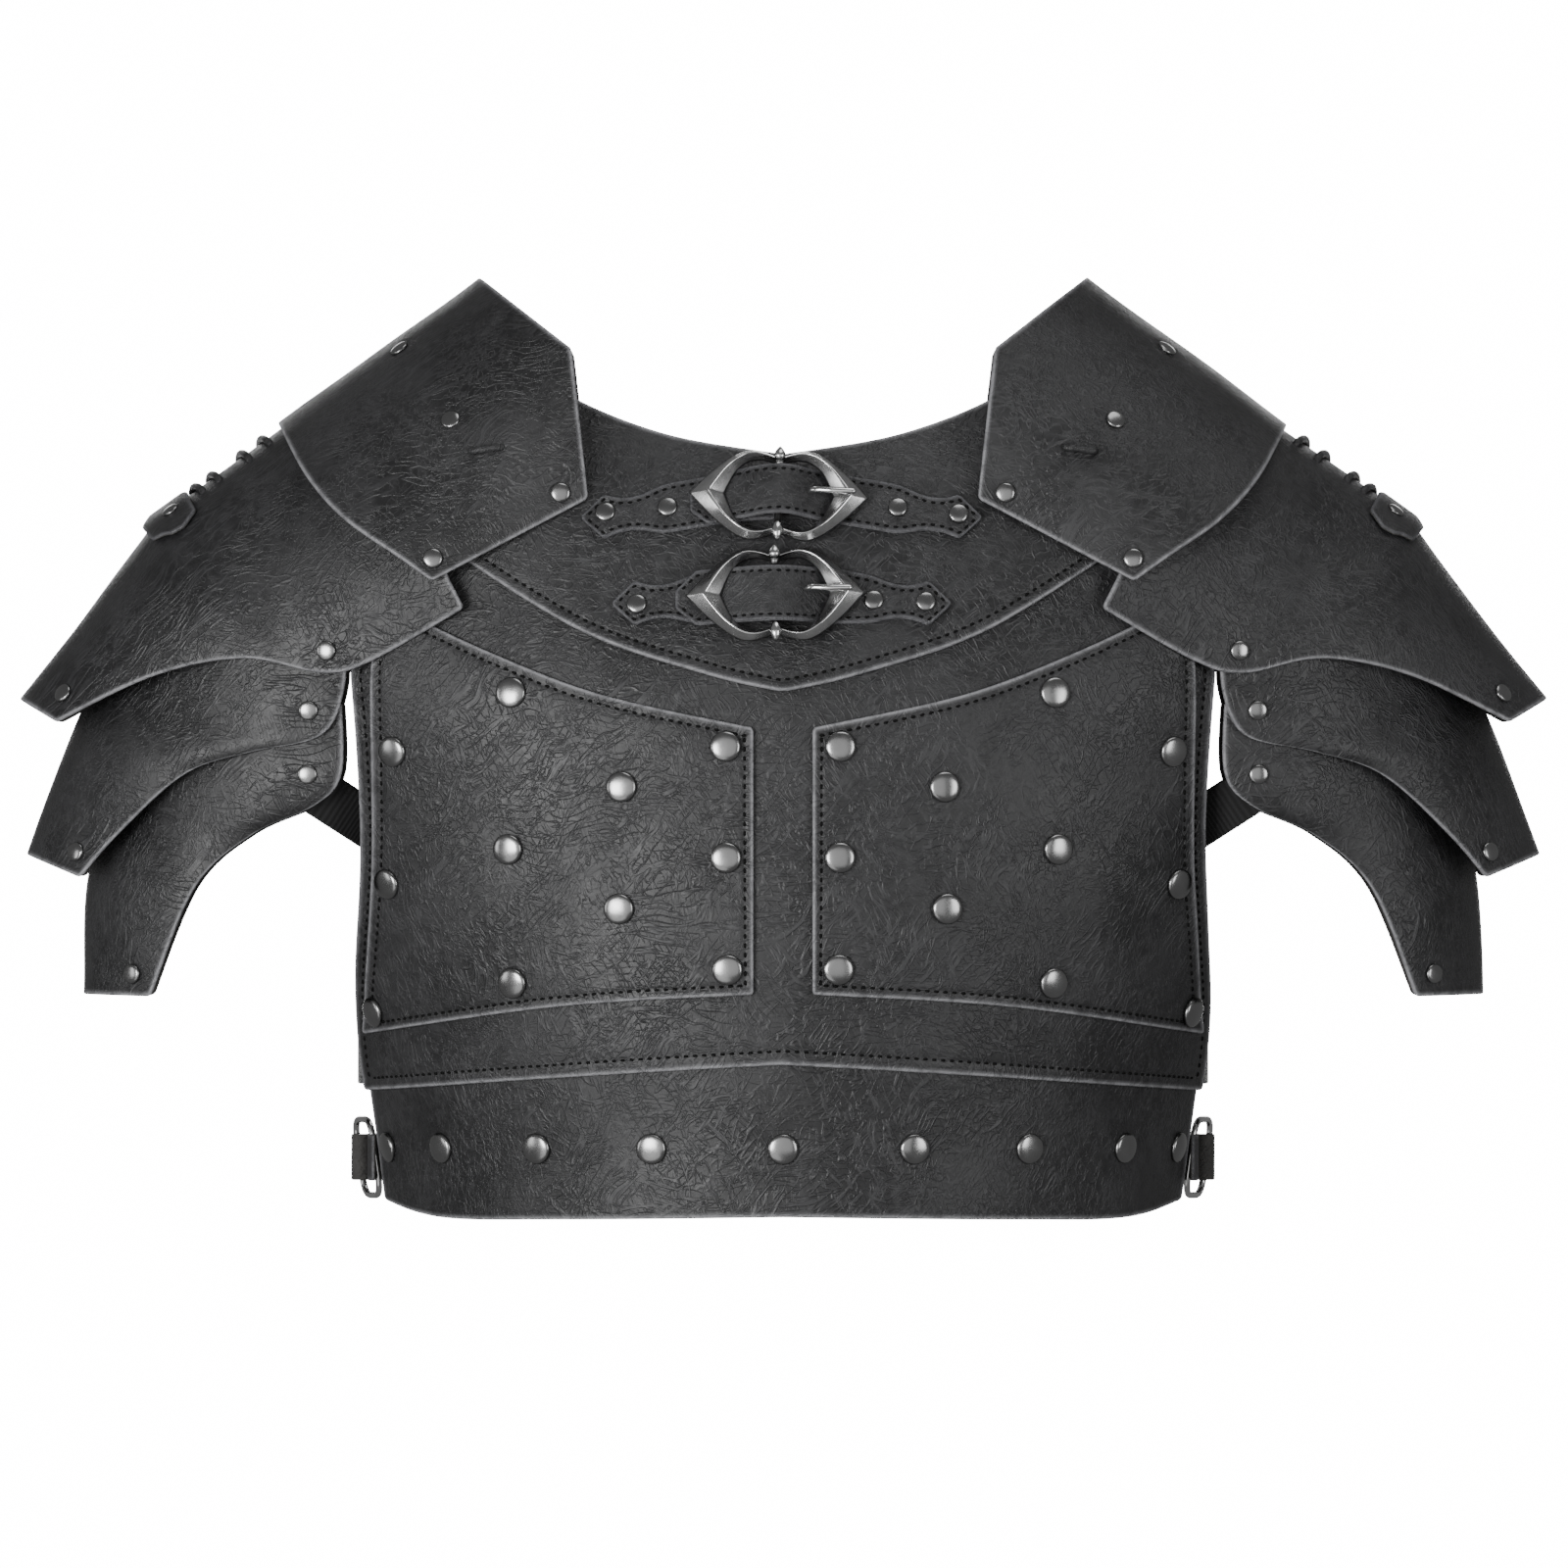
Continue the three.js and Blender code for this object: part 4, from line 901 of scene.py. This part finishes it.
def tube(route, radii, sides=12, closed=False, up=(0, 0, 1)):
    """Points and faces of a round bar along a route of points, with rounded ends if it is open."""
    route, radii = np.asarray(route, float), np.broadcast_to(radii, len(route))
    if closed:
        run = unit(np.roll(route, -1, 0) - np.roll(route, 1, 0))
    else:
        run = unit(np.gradient(route, axis=0))
    side = unit(np.cross(run, np.asarray(up, float)))
    top = np.cross(side, run)
    angles = np.linspace(0, 2 * np.pi, sides, endpoint=False)
    circle = np.cos(angles)[:, None, None] * side + np.sin(angles)[:, None, None] * top
    rings = (route + circle * radii[:, None]).transpose(1, 0, 2)
    if closed:
        return rings.reshape(-1, 3), ring_faces(sides, len(route))
    points = np.vstack([route[:1] - run[0] * 0.2, rings.reshape(-1, 3), route[-1:] + run[-1] * 0.2])
    return points, stacked_faces(len(route), sides)


def join(*parts):
    """Several point and face lists as one."""
    points, faces, start = [], [], 0
    for part_points, part_faces in parts:
        points.append(part_points)
        faces.extend(tuple(c + start for c in corners) for corners in part_faces)
        start += len(part_points)
    return np.vstack(points), faces


def smooth_route(points, count, closed=False):
    """Even points on a smooth curve through a few places in space."""
    points = [tuple(p) for p in points]
    if closed:
        line = edge([points[-1], *points, points[0], points[1]])
        half = len(line) // 2
        away = np.linalg.norm(line - points[0], axis=1)
        line = line[np.argmin(away[:half]) : half + np.argmin(away[half:])]
        return line[np.linspace(0, len(line), count, endpoint=False).astype(int)]
    line = edge(points)
    return line[np.linspace(0, len(line) - 1, count).round().astype(int)]


# Section of the frame from its outer foot over the ridge to the window: share across and height
FRAME_SECTION = [
    (0.0, 0.0), (0.0, 0.16), (0.05, 0.26), (0.25, 0.55), (0.43, 0.9), (0.5, 1.0), (0.57, 0.9),
    (0.75, 0.55), (0.95, 0.26), (1.0, 0.16), (1.0, 0.0),
]
FRAME_HOLLOW = [1, 0.7, 0.2, 0.1, 0.0, 0.0, 0.0, 0.2, 0.45, 0.9, 1]
TOP_BEAD = [
    (0, -1.8), (1.5, -1.5), (2.3, -0.4), (2.4, 0.6), (2.0, 1.9), (1.3, 3.0), (0.6, 3.9), (0, 4.4),
]
LOW_BEAD = [
    (0, -4.2), (0.9, -3.5), (1.8, -2.0), (2.3, -0.2), (2.3, 1.0), (1.8, 2.6), (0.9, 4.0), (0, 4.7),
]
BEAD_SUNK, BEAD_LOW = 0.3, 1.2  # mm from the frame's outline and from its top
BEAD_SIDES = 20
PER_QUARTER = 40  # points along a quarter of the frame

for closure in CLOSURES:
    name = closure["name"]
    outer = ogee_ring(BUCKLE_OUTER, PER_QUARTER)
    window = ogee_ring(BUCKLE_WINDOW, PER_QUARTER)
    section = []
    for share, height in FRAME_SECTION:
        flat = outer + (window - outer) * share
        ridge = np.interp(np.abs(outer[:, 0]), *RIDGE.T)
        level = FRAME_BOTTOM + (FRAME_TOP - FRAME_BOTTOM) * height * ridge
        section.append(np.column_stack([flat, level]))
    frame_points = np.stack(section, 1).reshape(-1, 3)
    frame_part = (frame_points, ring_faces(len(FRAME_SECTION), len(outer)))
    frame_hollow = np.tile(FRAME_HOLLOW, len(outer))

    beads = []
    for profile, end in ((TOP_BEAD, 1), (LOW_BEAD, -1)):
        bead, bead_faces = turned(profile, BEAD_SIDES)
        seat = (0, end * (BUCKLE_OUTER[-1][1] - BEAD_SUNK), FRAME_TOP - BEAD_LOW)
        turned_over = bead_faces if end < 0 else [corners[::-1] for corners in bead_faces]
        beads.append((bead[:, [0, 2, 1]] * (1, end, 0.9) + seat, turned_over))
    bar_end = BUCKLE_OUTER[-1][1] - BAR["radius"]
    bar_y = np.linspace(-bar_end, bar_end, 24)
    bar_height = BAR["height"] + BAR["rise"] * (np.abs(bar_y) / bar_end) ** 8
    bar_part = tube(np.column_stack([0 * bar_y, bar_y, bar_height]), BAR["radius"], up=(1, 0, 0))
    points, faces = join(frame_part, *beads, bar_part)
    bead_count = sum(len(bead) for bead, _ in beads)
    hollows = np.concatenate([frame_hollow, np.zeros(bead_count), np.full(len(bar_part[0]), 0.6)])

    route = smooth_route(PRONG, PRONG_STEPS)
    ends = np.minimum(np.arange(PRONG_STEPS), np.arange(PRONG_STEPS)[::-1])
    prong_points, prong_faces = tube(
        route, PRONG_RADIUS * np.interp(ends, [0, 1, 2, 4], [0.55, 0.82, 0.95, 1]), up=(0, 1, 0)
    )
    seat_height = STRAP_HEIGHT + (FRAME_BOTTOM + FRAME_TOP) / 2
    angle, level = chest_place(*closure["buckle"], seat_height)
    out = chest_normal(angle, level)
    along = unit(np.array([1.0, 0, 0]) - out * out[0])
    upward = np.cross(out, along)
    tilt = math.radians(closure["tilt"])
    along, upward = (
        along * math.cos(tilt) + upward * math.sin(tilt),
        upward * math.cos(tilt) - along * math.sin(tilt),
    )
    seat = chest_layer(angle, level, STRAP_HEIGHT)
    axes = np.stack([along, upward, out])
    make_piece(
        f"buckle_{name}_casting", seat + points @ axes, faces, antique_silver,
        [f"buckle_{name}"], {"hollow": hollows},
    )
    make_piece(
        f"prong_{name}_casting", seat + prong_points @ axes, prong_faces, antique_silver,
        [f"prong_{name}"], {"hollow": np.zeros(len(prong_points))},
    )


# Shoulder guards: on each side a cap and three lames that lie under one another. Each is one sheet
# of leather folded over a crest, and rivets at the corners join it to the next.
CAP = {
    "crest": [[(124.4, 59.8), (206.8, -0.4)]],
    "lower": [[(79.2, -31.8), (143, -65.4)]],
    "inner": [[(124.4, 59.8), (86.4, 30)], [(86.4, 30), (79.2, -31.8)]],
    "outer": [[(206.8, -0.4), (194.4, -22.8), (178.8, -40), (157.2, -55.2), (143, -65.4)]],
    "bow": [(0, 96, 90), (1, 101, 90)],
    "rivets": [(156.8, 30), (135.6, 0.4), (90.6, -29.2), (142.7, -56)],
}
LAME_1 = {
    "crest": [[(176, 18), (206.8, -3.6), (257.6, -40)], [(257.6, -40), (286.8, -80.8), (313, -113)]],
    "lower": [[(130, -76.4), (168, -98), (188, -102.8), (220, -96.8), (258, -104), (297.2, -122.4)]],
    "inner": [[(176, 18), (135.6, -65.6)], [(135.6, -65.6), (130, -76.4)]],
    "outer": [[(313, -113), (297.2, -122.4)]],
    "bow": [(0, 98.6, 90), (0.33, 81, 88), (0.6, 71, 80), (1, 42, 50)],
    "rivets": [(294.2, -110.8), (186.3, -93.6)],
}
LAME_2 = {
    "crest": [[(268, -76), (290, -123.2), (310, -176.8)]],
    "lower": [[
        (178.8, -87), (178.8, -108.8), (188, -128), (216, -134.8), (244, -144), (271.6, -168),
        (287.4, -186.2),
    ]],
    "inner": [[(268, -76), (222, -91), (178.8, -87)]],
    "outer": [[(310, -176.8), (287.4, -186.2)]],
    "bow": [(0, 76.1, 90), (0.2, 76.1, 88), (0.5, 68, 84), (1, 44, 55)],
    "rivets": [(289, -175.6), (193.6, -118)],
}
LAME_3 = {
    "crest": [[(272, -127), (284.6, -186), (286.6, -234)]],
    "lower": [[(180, -114), (180, -144), (191.2, -157.2), (216.4, -168.8), (240, -190), (258.8, -234.8)]],
    "inner": [[(272, -127), (226, -126), (180, -114)]],
    "outer": [[(286.6, -234), (258.8, -234.8)]],
    "bow": [(0, 71.4, 90), (0.2, 73, 90), (0.5, 62, 84), (1, 46, 62)],
    "rivets": [(266, -225.6), (194, -144)],
}
GUARD_SWELL = {"seed": 8, "wave": 60, "height": 0.3}
GUARD_DIMPLE = 0.5
GUARD_MIDDLE = np.array([185.0, 0, -110])


def folded_plate(plan):
    """The outer face of a folded plate, by the share of the crest and of the fold, which is 1 at
    the front edge and -1 at the rear one. The bow gives each place's depth and turn."""
    patch = blend_edges(*[edge(*plan[line]) for line in ("crest", "outer", "lower", "inner")])
    bow = np.array(plan["bow"], float)

    def point(u, fold):
        turn = np.radians(np.interp(u, bow[:, 0], bow[:, 2]))
        angle = np.abs(fold) * turn
        seen = patch(u, (1 - np.cos(angle)) / (1 - np.cos(turn)))
        y = -np.sign(fold) * read_table(bow, 1, u) * np.sin(angle) / np.sin(turn)
        return np.stack([seen[..., 0], y, seen[..., 1]], -1)

    return point


def on_side(face, over):
    """A face of the right shoulder guard, or its mirror image on the left."""
    return lambda u, v: face(u, v) * over


def fold_face(plate):
    return lambda u, v: plate(u, 2 * v - 1)


def fold_layer(plate, u, fold, height):
    """Points at a height over a folded plate."""
    u, fold = np.asarray(u, float), np.asarray(fold, float)
    step = 2e-3
    along = plate(np.minimum(u + step, 1), fold) - plate(np.maximum(u - step, 0), fold)
    across = plate(u, np.minimum(fold + step, 1)) - plate(u, np.maximum(fold - step, -1))
    out = unit(np.cross(across, along))
    return plate(u, fold) + out * np.asarray(height, float)[..., None], out


def fold_places(plate, seen):
    """Shares of the crest and the fold at places of the front half seen at x and z."""
    u, fold = np.meshgrid(np.linspace(0, 1, 401), np.linspace(0, 1, 401), indexing="ij")
    grid = plate(u, fold)
    found = []
    for x, z in seen:
        nearest = np.argmin((grid[..., 0] - x) ** 2 + (grid[..., 2] - z) ** 2)
        found.append((u.flat[nearest], fold.flat[nearest]))
    return np.array(found).T


guard_plates = {}
for node, plan in (
    ("shoulder_cap", CAP), ("lame_1", LAME_1), ("lame_2", LAME_2), ("lame_3", LAME_3),
):
    plate = guard_plates[node] = folded_plate(plan)
    u, fold = fold_places(plate, plan["rivets"])
    seats, out = fold_layer(plate, np.tile(u, 2), np.concatenate([fold, -fold]), np.zeros(2 * len(u)))
    for side, over in SIDES.items():

        def guard_relief(points, sides, seats=seats * over):
            return unevenness(points, **GUARD_SWELL) + dimples(points, seats, SMALL_RIVET, GUARD_DIMPLE)

        leather_piece(
            f"{node}_{side}_leather", on_side(fold_face(plate), over), GUARD_MIDDLE * over, LEATHER,
            plate_leather, "black_leather", [f"{node}_{side}"], relief=guard_relief,
        )
        rivet_caps(f"{node}_{side}_rivets", seats * over, out * over, SMALL_RIVET)


# Cap ties: a short loop of leather lace on each side that ties the shoulder cap to the yoke.
# It shows on the cap as one flat stitch between two punched holes.
LACE_RADIUS, LACE_SIDES = 1.3, 10
SEAT = 0.3  # mm between a lace or loop and what it lies on
TIE_STEPS = 64
TIE = {"x": 120.8, "z": -11.6, "half": 4.8, "bulge": 1.6, "radius": 1.5, "slack": 1, "slope": -0.13}


def lace_piece(name, route, radius, closed=False):
    for side, over in SIDES.items():
        points, faces = tube(route * over, radius, LACE_SIDES, closed)
        make_piece(
            f"{name}_{side}_lace", points, faces, strap_leather, [f"{name}_{side}"],
            {"edge_wear_and_highlight": np.zeros(len(points)), "flesh_side": np.zeros(len(points))},
        )


cap_plate = guard_plates["shoulder_cap"]
tie_u, tie_fold = fold_places(cap_plate, [(TIE["x"], TIE["z"])])
cap_front = cap_plate(tie_u, tie_fold)[0, 1]
yoke_back = chest_layer(*chest_place(TIE["x"], TIE["z"], LAYER), LAYER)[1]
tie_out = cap_front - TIE["radius"] - SEAT
tie_in = yoke_back + LACE_RADIUS + 2 * SEAT + TIE["slack"]
tie_half, tie_side = TIE["half"], TIE["half"] + TIE["bulge"]
tie_route = [
    (-tie_half, tie_out), (tie_half, tie_out), (tie_side, cap_front + LEATHER),
    (tie_side, yoke_back - LEATHER), (tie_half, tie_in), (-tie_half, tie_in),
    (-tie_side, yoke_back - LEATHER), (-tie_side, cap_front + LEATHER),
]
route = smooth_route(
    [(TIE["x"] + x, y, TIE["z"] + TIE["slope"] * x) for x, y in tie_route], TIE_STEPS, closed=True
)
lace_piece("cap_tie", route, TIE["radius"], closed=True)


# Crest laces: one cord whipped over the crest of each first lame, four turns through eight holes.
# Below them a small notched leather tab is riveted over the crest.
LACE_TURNS = [0.236, 0.29, 0.368, 0.412]  # place of each turn, as a share of the crest
LACE_FOLD = 0.14
LACE_LEAN = 0.012
# Way of one turn: side of the crest, lean along it, and height over the leather
LACE_WAY = [
    (1, -1, -4.0), (1, -1, 0.9), (0.5, -0.5, 1.4), (0, 0, 1.5), (-0.5, 0.5, 1.4), (-1, 1, 0.9),
    (-1, 1, -4.0),
]
CREST_LACE_RADIUS, CREST_LACE_STEPS = 1.6, 300

first_lame = guard_plates["lame_1"]
lace_route = [
    fold_layer(first_lame, u + lean * LACE_LEAN, side * LACE_FOLD, height)[0]
    for u in LACE_TURNS
    for side, lean, height in LACE_WAY
]
lace_piece("crest_lace", smooth_route(lace_route, CREST_LACE_STEPS), CREST_LACE_RADIUS)

TAB_U = 0.49
# Half length of the tab along the crest, by the fold: two blunt points, with a notch at the crest
TAB_HALVES = np.array([
    (-0.36, 0.014), (-0.3, 0.058), (-0.08, 0.06), (-0.04, 0.054), (0, 0.046), (0.04, 0.054),
    (0.08, 0.06), (0.3, 0.058), (0.36, 0.014),
])
TAB_RIVET, TAB_RIVET_RADIUS = (249.2, -38.4), 3.6
TAB_FACE = STRAP_LEATHER + 1.0  # height of its outer face over the lame


def tab_face(u, v):
    fold = TAB_HALVES[0, 0] + (TAB_HALVES[-1, 0] - TAB_HALVES[0, 0]) * v
    half = np.interp(fold, TAB_HALVES[:, 0], TAB_HALVES[:, 1])
    return fold_layer(first_lame, TAB_U + (2 * u - 1) * half, fold, np.full_like(u, TAB_FACE))[0]


tab_u, tab_fold = fold_places(first_lame, [TAB_RIVET])
tab_seats, tab_out = fold_layer(
    first_lame, np.tile(tab_u, 2), np.concatenate([tab_fold, -tab_fold]), np.full(2, TAB_FACE)
)
for side, over in SIDES.items():
    leather_piece(
        f"crest_tab_{side}_leather", on_side(tab_face, over), GUARD_MIDDLE * over, STRAP_LEATHER,
        strap_leather, "strap_leather", [f"crest_tab_{side}"], corner=0.8, step=1.6,
    )
    rivet_caps(f"crest_tab_{side}_rivets", tab_seats * over, tab_out * over, TAB_RIVET_RADIUS)


# Arm straps: black woven webbing on each side, from the front to the rear edge of the last lame.
# They are fixed inside it and close the lames to a ring.
ARM = {"x": 206, "z": -141, "tilt": 33, "reach": 60, "depth": 65.6, "ends": 88}
ARM_STRAP_WIDTH = 19
RIB_MM = 1.4  # from rib to rib of the webbing

# Woven polypropylene webbing: matt black, with ribs across it that a close look picks out.
webbing, tree, shader = new_material("black woven webbing")
place = add_node(tree, "TexCoord", "Object")
ribs = add_node(
    tree, "TexWave", "Fac",
    {"Vector": place, "Scale": 2 * math.pi / (20 * RIB_MM * MM), "Distortion": 0.6, "Detail": 2},
    bands_direction="Y",
)
yarn = add_node(
    tree, "Mix", "Result",
    {"Factor": ribs, "A": linear("#070707"), "B": linear("#1b1b1c")}, data_type="RGBA",
)
tree.links.new(yarn, shader.inputs["Base Color"])
shader.inputs["Roughness"].default_value = 0.85
weave = add_node(tree, "Bump", "Normal", {"Height": ribs, "Strength": 0.6, "Distance": 0.4 * MM})
tree.links.new(weave, shader.inputs["Normal"])


def strip_face(route, across, width):
    """The middle face of a flat strap along a route, with its width in one direction."""
    route, across = np.asarray(route, float), np.asarray(across, float)
    along = np.append(0, np.cumsum(np.linalg.norm(np.diff(route, axis=0), axis=1)))

    def face(u, v):
        middle = np.stack([np.interp(u * along[-1], along, column) for column in route.T], -1)
        return middle + across * (v - 0.5)[..., None] * width

    return face


def flat_strap(name, face, within, wall, material, slot, node, step=2.4):
    leather_piece(
        name, face, within, wall, material, slot, [node], corner=1.0, step=step,
        round_edge=0.5 * wall - 0.05, relief=lambda points, sides: np.full(points.shape[:-1], wall / 2),
    )


tilt = math.radians(ARM["tilt"])
arm_inward = np.array([-math.cos(tilt), 0, -math.sin(tilt)])
arm_along = np.array([math.sin(tilt), 0, -math.cos(tilt)])
round_arm = np.radians(np.linspace(-ARM["ends"], ARM["ends"], 200))
arm_route = (
    np.array([ARM["x"], 0, ARM["z"]])
    + np.outer(np.cos(round_arm), arm_inward) * ARM["reach"]
    + np.outer(-np.sin(round_arm), [0, 1, 0]) * ARM["depth"]
)
for side, over in SIDES.items():
    flat_strap(
        f"arm_strap_{side}_webbing", strip_face(arm_route * over, arm_along * over, ARM_STRAP_WIDTH),
        np.array([ARM["x"], 0, ARM["z"]]) * over, STRAP_LEATHER, webbing, "black_webbing",
        f"arm_strap_{side}",
    )


# Waist rings: a steel ring at each end of the belt, held by a folded leather loop.
# The strap behind passes through both rings and closes the belt round the back.
RING = {"x": 165.9, "z": -301, "wire": 1.4, "length": 24, "height": 34, "lean": 0.14}
LOOP = {"bend": 1.9, "leg": 7, "bar": 3.4, "wall": 1.6}
RING_SIDES = 14
BACK_STRAP_WIDTH = 19
UP = np.array([0, 0, 1.0])
belt_level = -SEAT - LEATHER / 2
ring_angle, ring_level = chest_place(RING["x"], RING["z"], belt_level)
belt_tip = chest_layer(ring_angle, ring_level, belt_level)
belt_run = unit(
    chest_point(ring_angle + 0.02, np.array(RING["z"], float))
    - chest_point(ring_angle - 0.02, np.array(RING["z"], float))
)
ring_out = np.cross(belt_run, UP)
ring_bar = belt_tip + belt_run * LOOP["bar"]


def loop_route(bar, run, out, legs):
    """A strap's way round a bar: a leg, half a turn and, where it has one, a second leg."""
    middle = LOOP["bend"] + LOOP["wall"] / 2
    turn = np.linspace(0, math.pi, 25)
    bend = bar + middle * (np.outer(np.sin(turn), run) + np.outer(np.cos(turn), out))
    return np.vstack([bend[0] - run * legs[0], bend, bend[-1] - run * legs[1]])


around = np.linspace(0, 2 * math.pi, 72, endpoint=False)


def bulge(value):
    return np.sign(value) * np.sqrt(np.abs(value))


ring_route = (
    ring_bar
    + np.outer(RING["length"] / 2 * (1 - bulge(np.cos(around))), belt_run)
    + np.outer((RING["height"] / 2 - RING["wire"]) * bulge(np.sin(around)), UP + (RING["lean"], 0, 0))
)
belt_loop = loop_route(ring_bar, belt_run, ring_out, (LOOP["leg"], LOOP["leg"]))
for side, over in SIDES.items():
    flat_strap(
        f"ring_loop_{side}_leather", strip_face(belt_loop * over, UP, BACK_STRAP_WIDTH),
        ring_bar * over, LOOP["wall"], strap_leather, "strap_leather", f"ring_loop_{side}", step=1.2,
    )
    points, faces = tube(ring_route * over, RING["wire"], RING_SIDES, closed=True)
    make_piece(
        f"d_ring_{side}_wire", points, faces, antique_silver, [f"d_ring_{side}"],
        {"hollow": np.zeros(len(points))},
    )


# Back straps: one leather strap between the rings at the waist, and a wider one above it that is
# sewn behind the base panel's sides.
BACK_DEPTH = 95
CHEST_BACK = {"z": -258.5, "from": 68, "width": 25, "inset": [(68, 8.1), (82, 6.6), (92, 4.4)]}
WAIST_BACK = {"from": 100, "run": np.array([-0.12, 1, 0]), "legs": (20, 8)}


def back_route(first, z, inset):
    """The way of a strap round the back at one height, with its inset by the angle from the front."""
    angle = np.radians(np.linspace(first, 360 - first, 240))
    front, half, depth = (read_table(CHEST_FORM, column, np.array(z, float)) for column in (1, 2, 3))
    away, insets = np.array(inset).T
    inset = np.interp(180 - np.abs(np.degrees(angle) - 180), away, insets)
    reach = np.where(np.cos(angle) > 0, depth - inset, BACK_DEPTH)
    return np.column_stack([
        (half - inset) * np.sin(angle), front + depth - reach * np.cos(angle), np.full(len(angle), z),
    ])


far_bar = ring_bar + belt_run * RING["length"]
strap_run = unit(WAIST_BACK["run"])
right_loop = loop_route(far_bar, -strap_run, np.cross(strap_run, UP), WAIST_BACK["legs"])
left_loop = (right_loop * (-1, 1, 1))[::-1]
waist_back = back_route(WAIST_BACK["from"], RING["z"], [(0, 0)])
waist_route = np.vstack([right_loop, waist_back, left_loop])
flat_strap(
    "waist_back_strap_leather", strip_face(waist_route, UP, BACK_STRAP_WIDTH), CHEST_MIDDLE,
    LOOP["wall"], strap_leather, "strap_leather", "waist_back_strap",
)
chest_route = back_route(CHEST_BACK["from"], CHEST_BACK["z"], CHEST_BACK["inset"])
flat_strap(
    "chest_back_strap_leather", strip_face(chest_route, UP, CHEST_BACK["width"]), CHEST_MIDDLE,
    STRAP_LEATHER, strap_leather, "strap_leather", "chest_back_strap",
)


# Studio: a pale floor well below the armour, a white surround, and soft lamps before and behind.
# The camera stands level with the chest plates, far off, with a long lens.
FLOOR_Z, FLOOR_REACH = -1.35, 2.5  # m
FRAME_WIDTH = 0.640  # m across the picture, at the armour's distance
CAMERA_DISTANCE = 16.0
PICTURE_CENTRE = (0.0004, -0.06, -0.148)
SENSOR = 36.0

floor_mesh = bpy.data.meshes.new("floor")
corners = [(-1, -1), (1, -1), (1, 1), (-1, 1)]
floor_mesh.from_pydata(
    [(x * FLOOR_REACH, y * FLOOR_REACH, FLOOR_Z) for x, y in corners], [], [(0, 1, 2, 3)]
)
# Matt painted floor: a plain pale grey, evenly lit.
paint, tree, shader = new_material("matt pale floor paint")
shader.inputs["Base Color"].default_value = linear("#e4e4e4")
shader.inputs["Roughness"].default_value = 0.9
shader.inputs["Emission Color"].default_value = linear("#ffffff")
shader.inputs["Emission Strength"].default_value = 3.0
floor_mesh.materials.append(paint)
floor = bpy.data.objects.new("floor", floor_mesh)
floor.visible_diffuse = floor.visible_glossy = False
bpy.context.scene.collection.objects.link(floor)

world = bpy.data.worlds.new("white studio")
bpy.context.scene.world = world
world.use_nodes = True
tree = world.node_tree
surround = tree.nodes["Background"]
surround.inputs["Color"].default_value = linear("#ffffff")
surround.inputs["Strength"].default_value = 0.2
backdrop = add_node(tree, "Background", "Background", {"Color": linear("#ffffff"), "Strength": 16.0})
seen = add_node(tree, "LightPath", "Is Camera Ray")
mixed = add_node(tree, "MixShader", "Shader", {0: seen, 1: surround.outputs["Background"], 2: backdrop})
tree.links.new(mixed, tree.nodes["World Output"].inputs["Surface"])


def softbox(name, place, aim, width, height, watts):
    lamp = bpy.data.lights.new(name, "AREA")
    lamp.shape = "RECTANGLE"
    lamp.size, lamp.size_y, lamp.energy = width, height, watts
    box = bpy.data.objects.new(name, lamp)
    box.location = place
    direction = np.array(aim) - np.array(place)
    box.rotation_euler = Vector(direction.tolist()).to_track_quat("-Z", "Y").to_euler()
    bpy.context.scene.collection.objects.link(box)


# Each lamp: place and aim in metres, width and height, and watts
softbox("front_softbox", (0.0, -2.6, -0.1), (0, 0, -0.15), 2.0, 1.8, 9.5)
softbox("key_softbox", (-1.3, -2.15, -0.2), (0, 0, -0.2), 0.9, 0.9, 46)
softbox("side_softbox", (-2.2, -0.9, -0.1), (0, 0, -0.15), 0.5, 0.9, 5)
softbox("low_softbox", (-0.9, -1.7, -1.25), (0, 0, -0.15), 1.6, 0.8, 4)
softbox("rim_softbox", (1.75, -1.85, -0.1), (0, 0, -0.15), 0.8, 1.2, 18)
softbox("top_softbox", (0.45, -0.4, 1.75), (0, 0, -0.1), 1.4, 1.0, 11)
softbox("rear_softbox", (0.0, 2.6, 0.15), (0, 0, -0.12), 1.8, 1.3, 34)

camera_data = bpy.data.cameras.new("camera")
camera_data.sensor_width = SENSOR
camera_data.lens = SENSOR * CAMERA_DISTANCE / FRAME_WIDTH
camera_data.clip_start, camera_data.clip_end = 0.1, 100
camera = bpy.data.objects.new("camera", camera_data)
camera.location = (PICTURE_CENTRE[0], PICTURE_CENTRE[1] - CAMERA_DISTANCE, PICTURE_CENTRE[2])
camera.rotation_euler = (math.pi / 2, 0, 0)
bpy.context.scene.collection.objects.link(camera)
bpy.context.scene.camera = camera
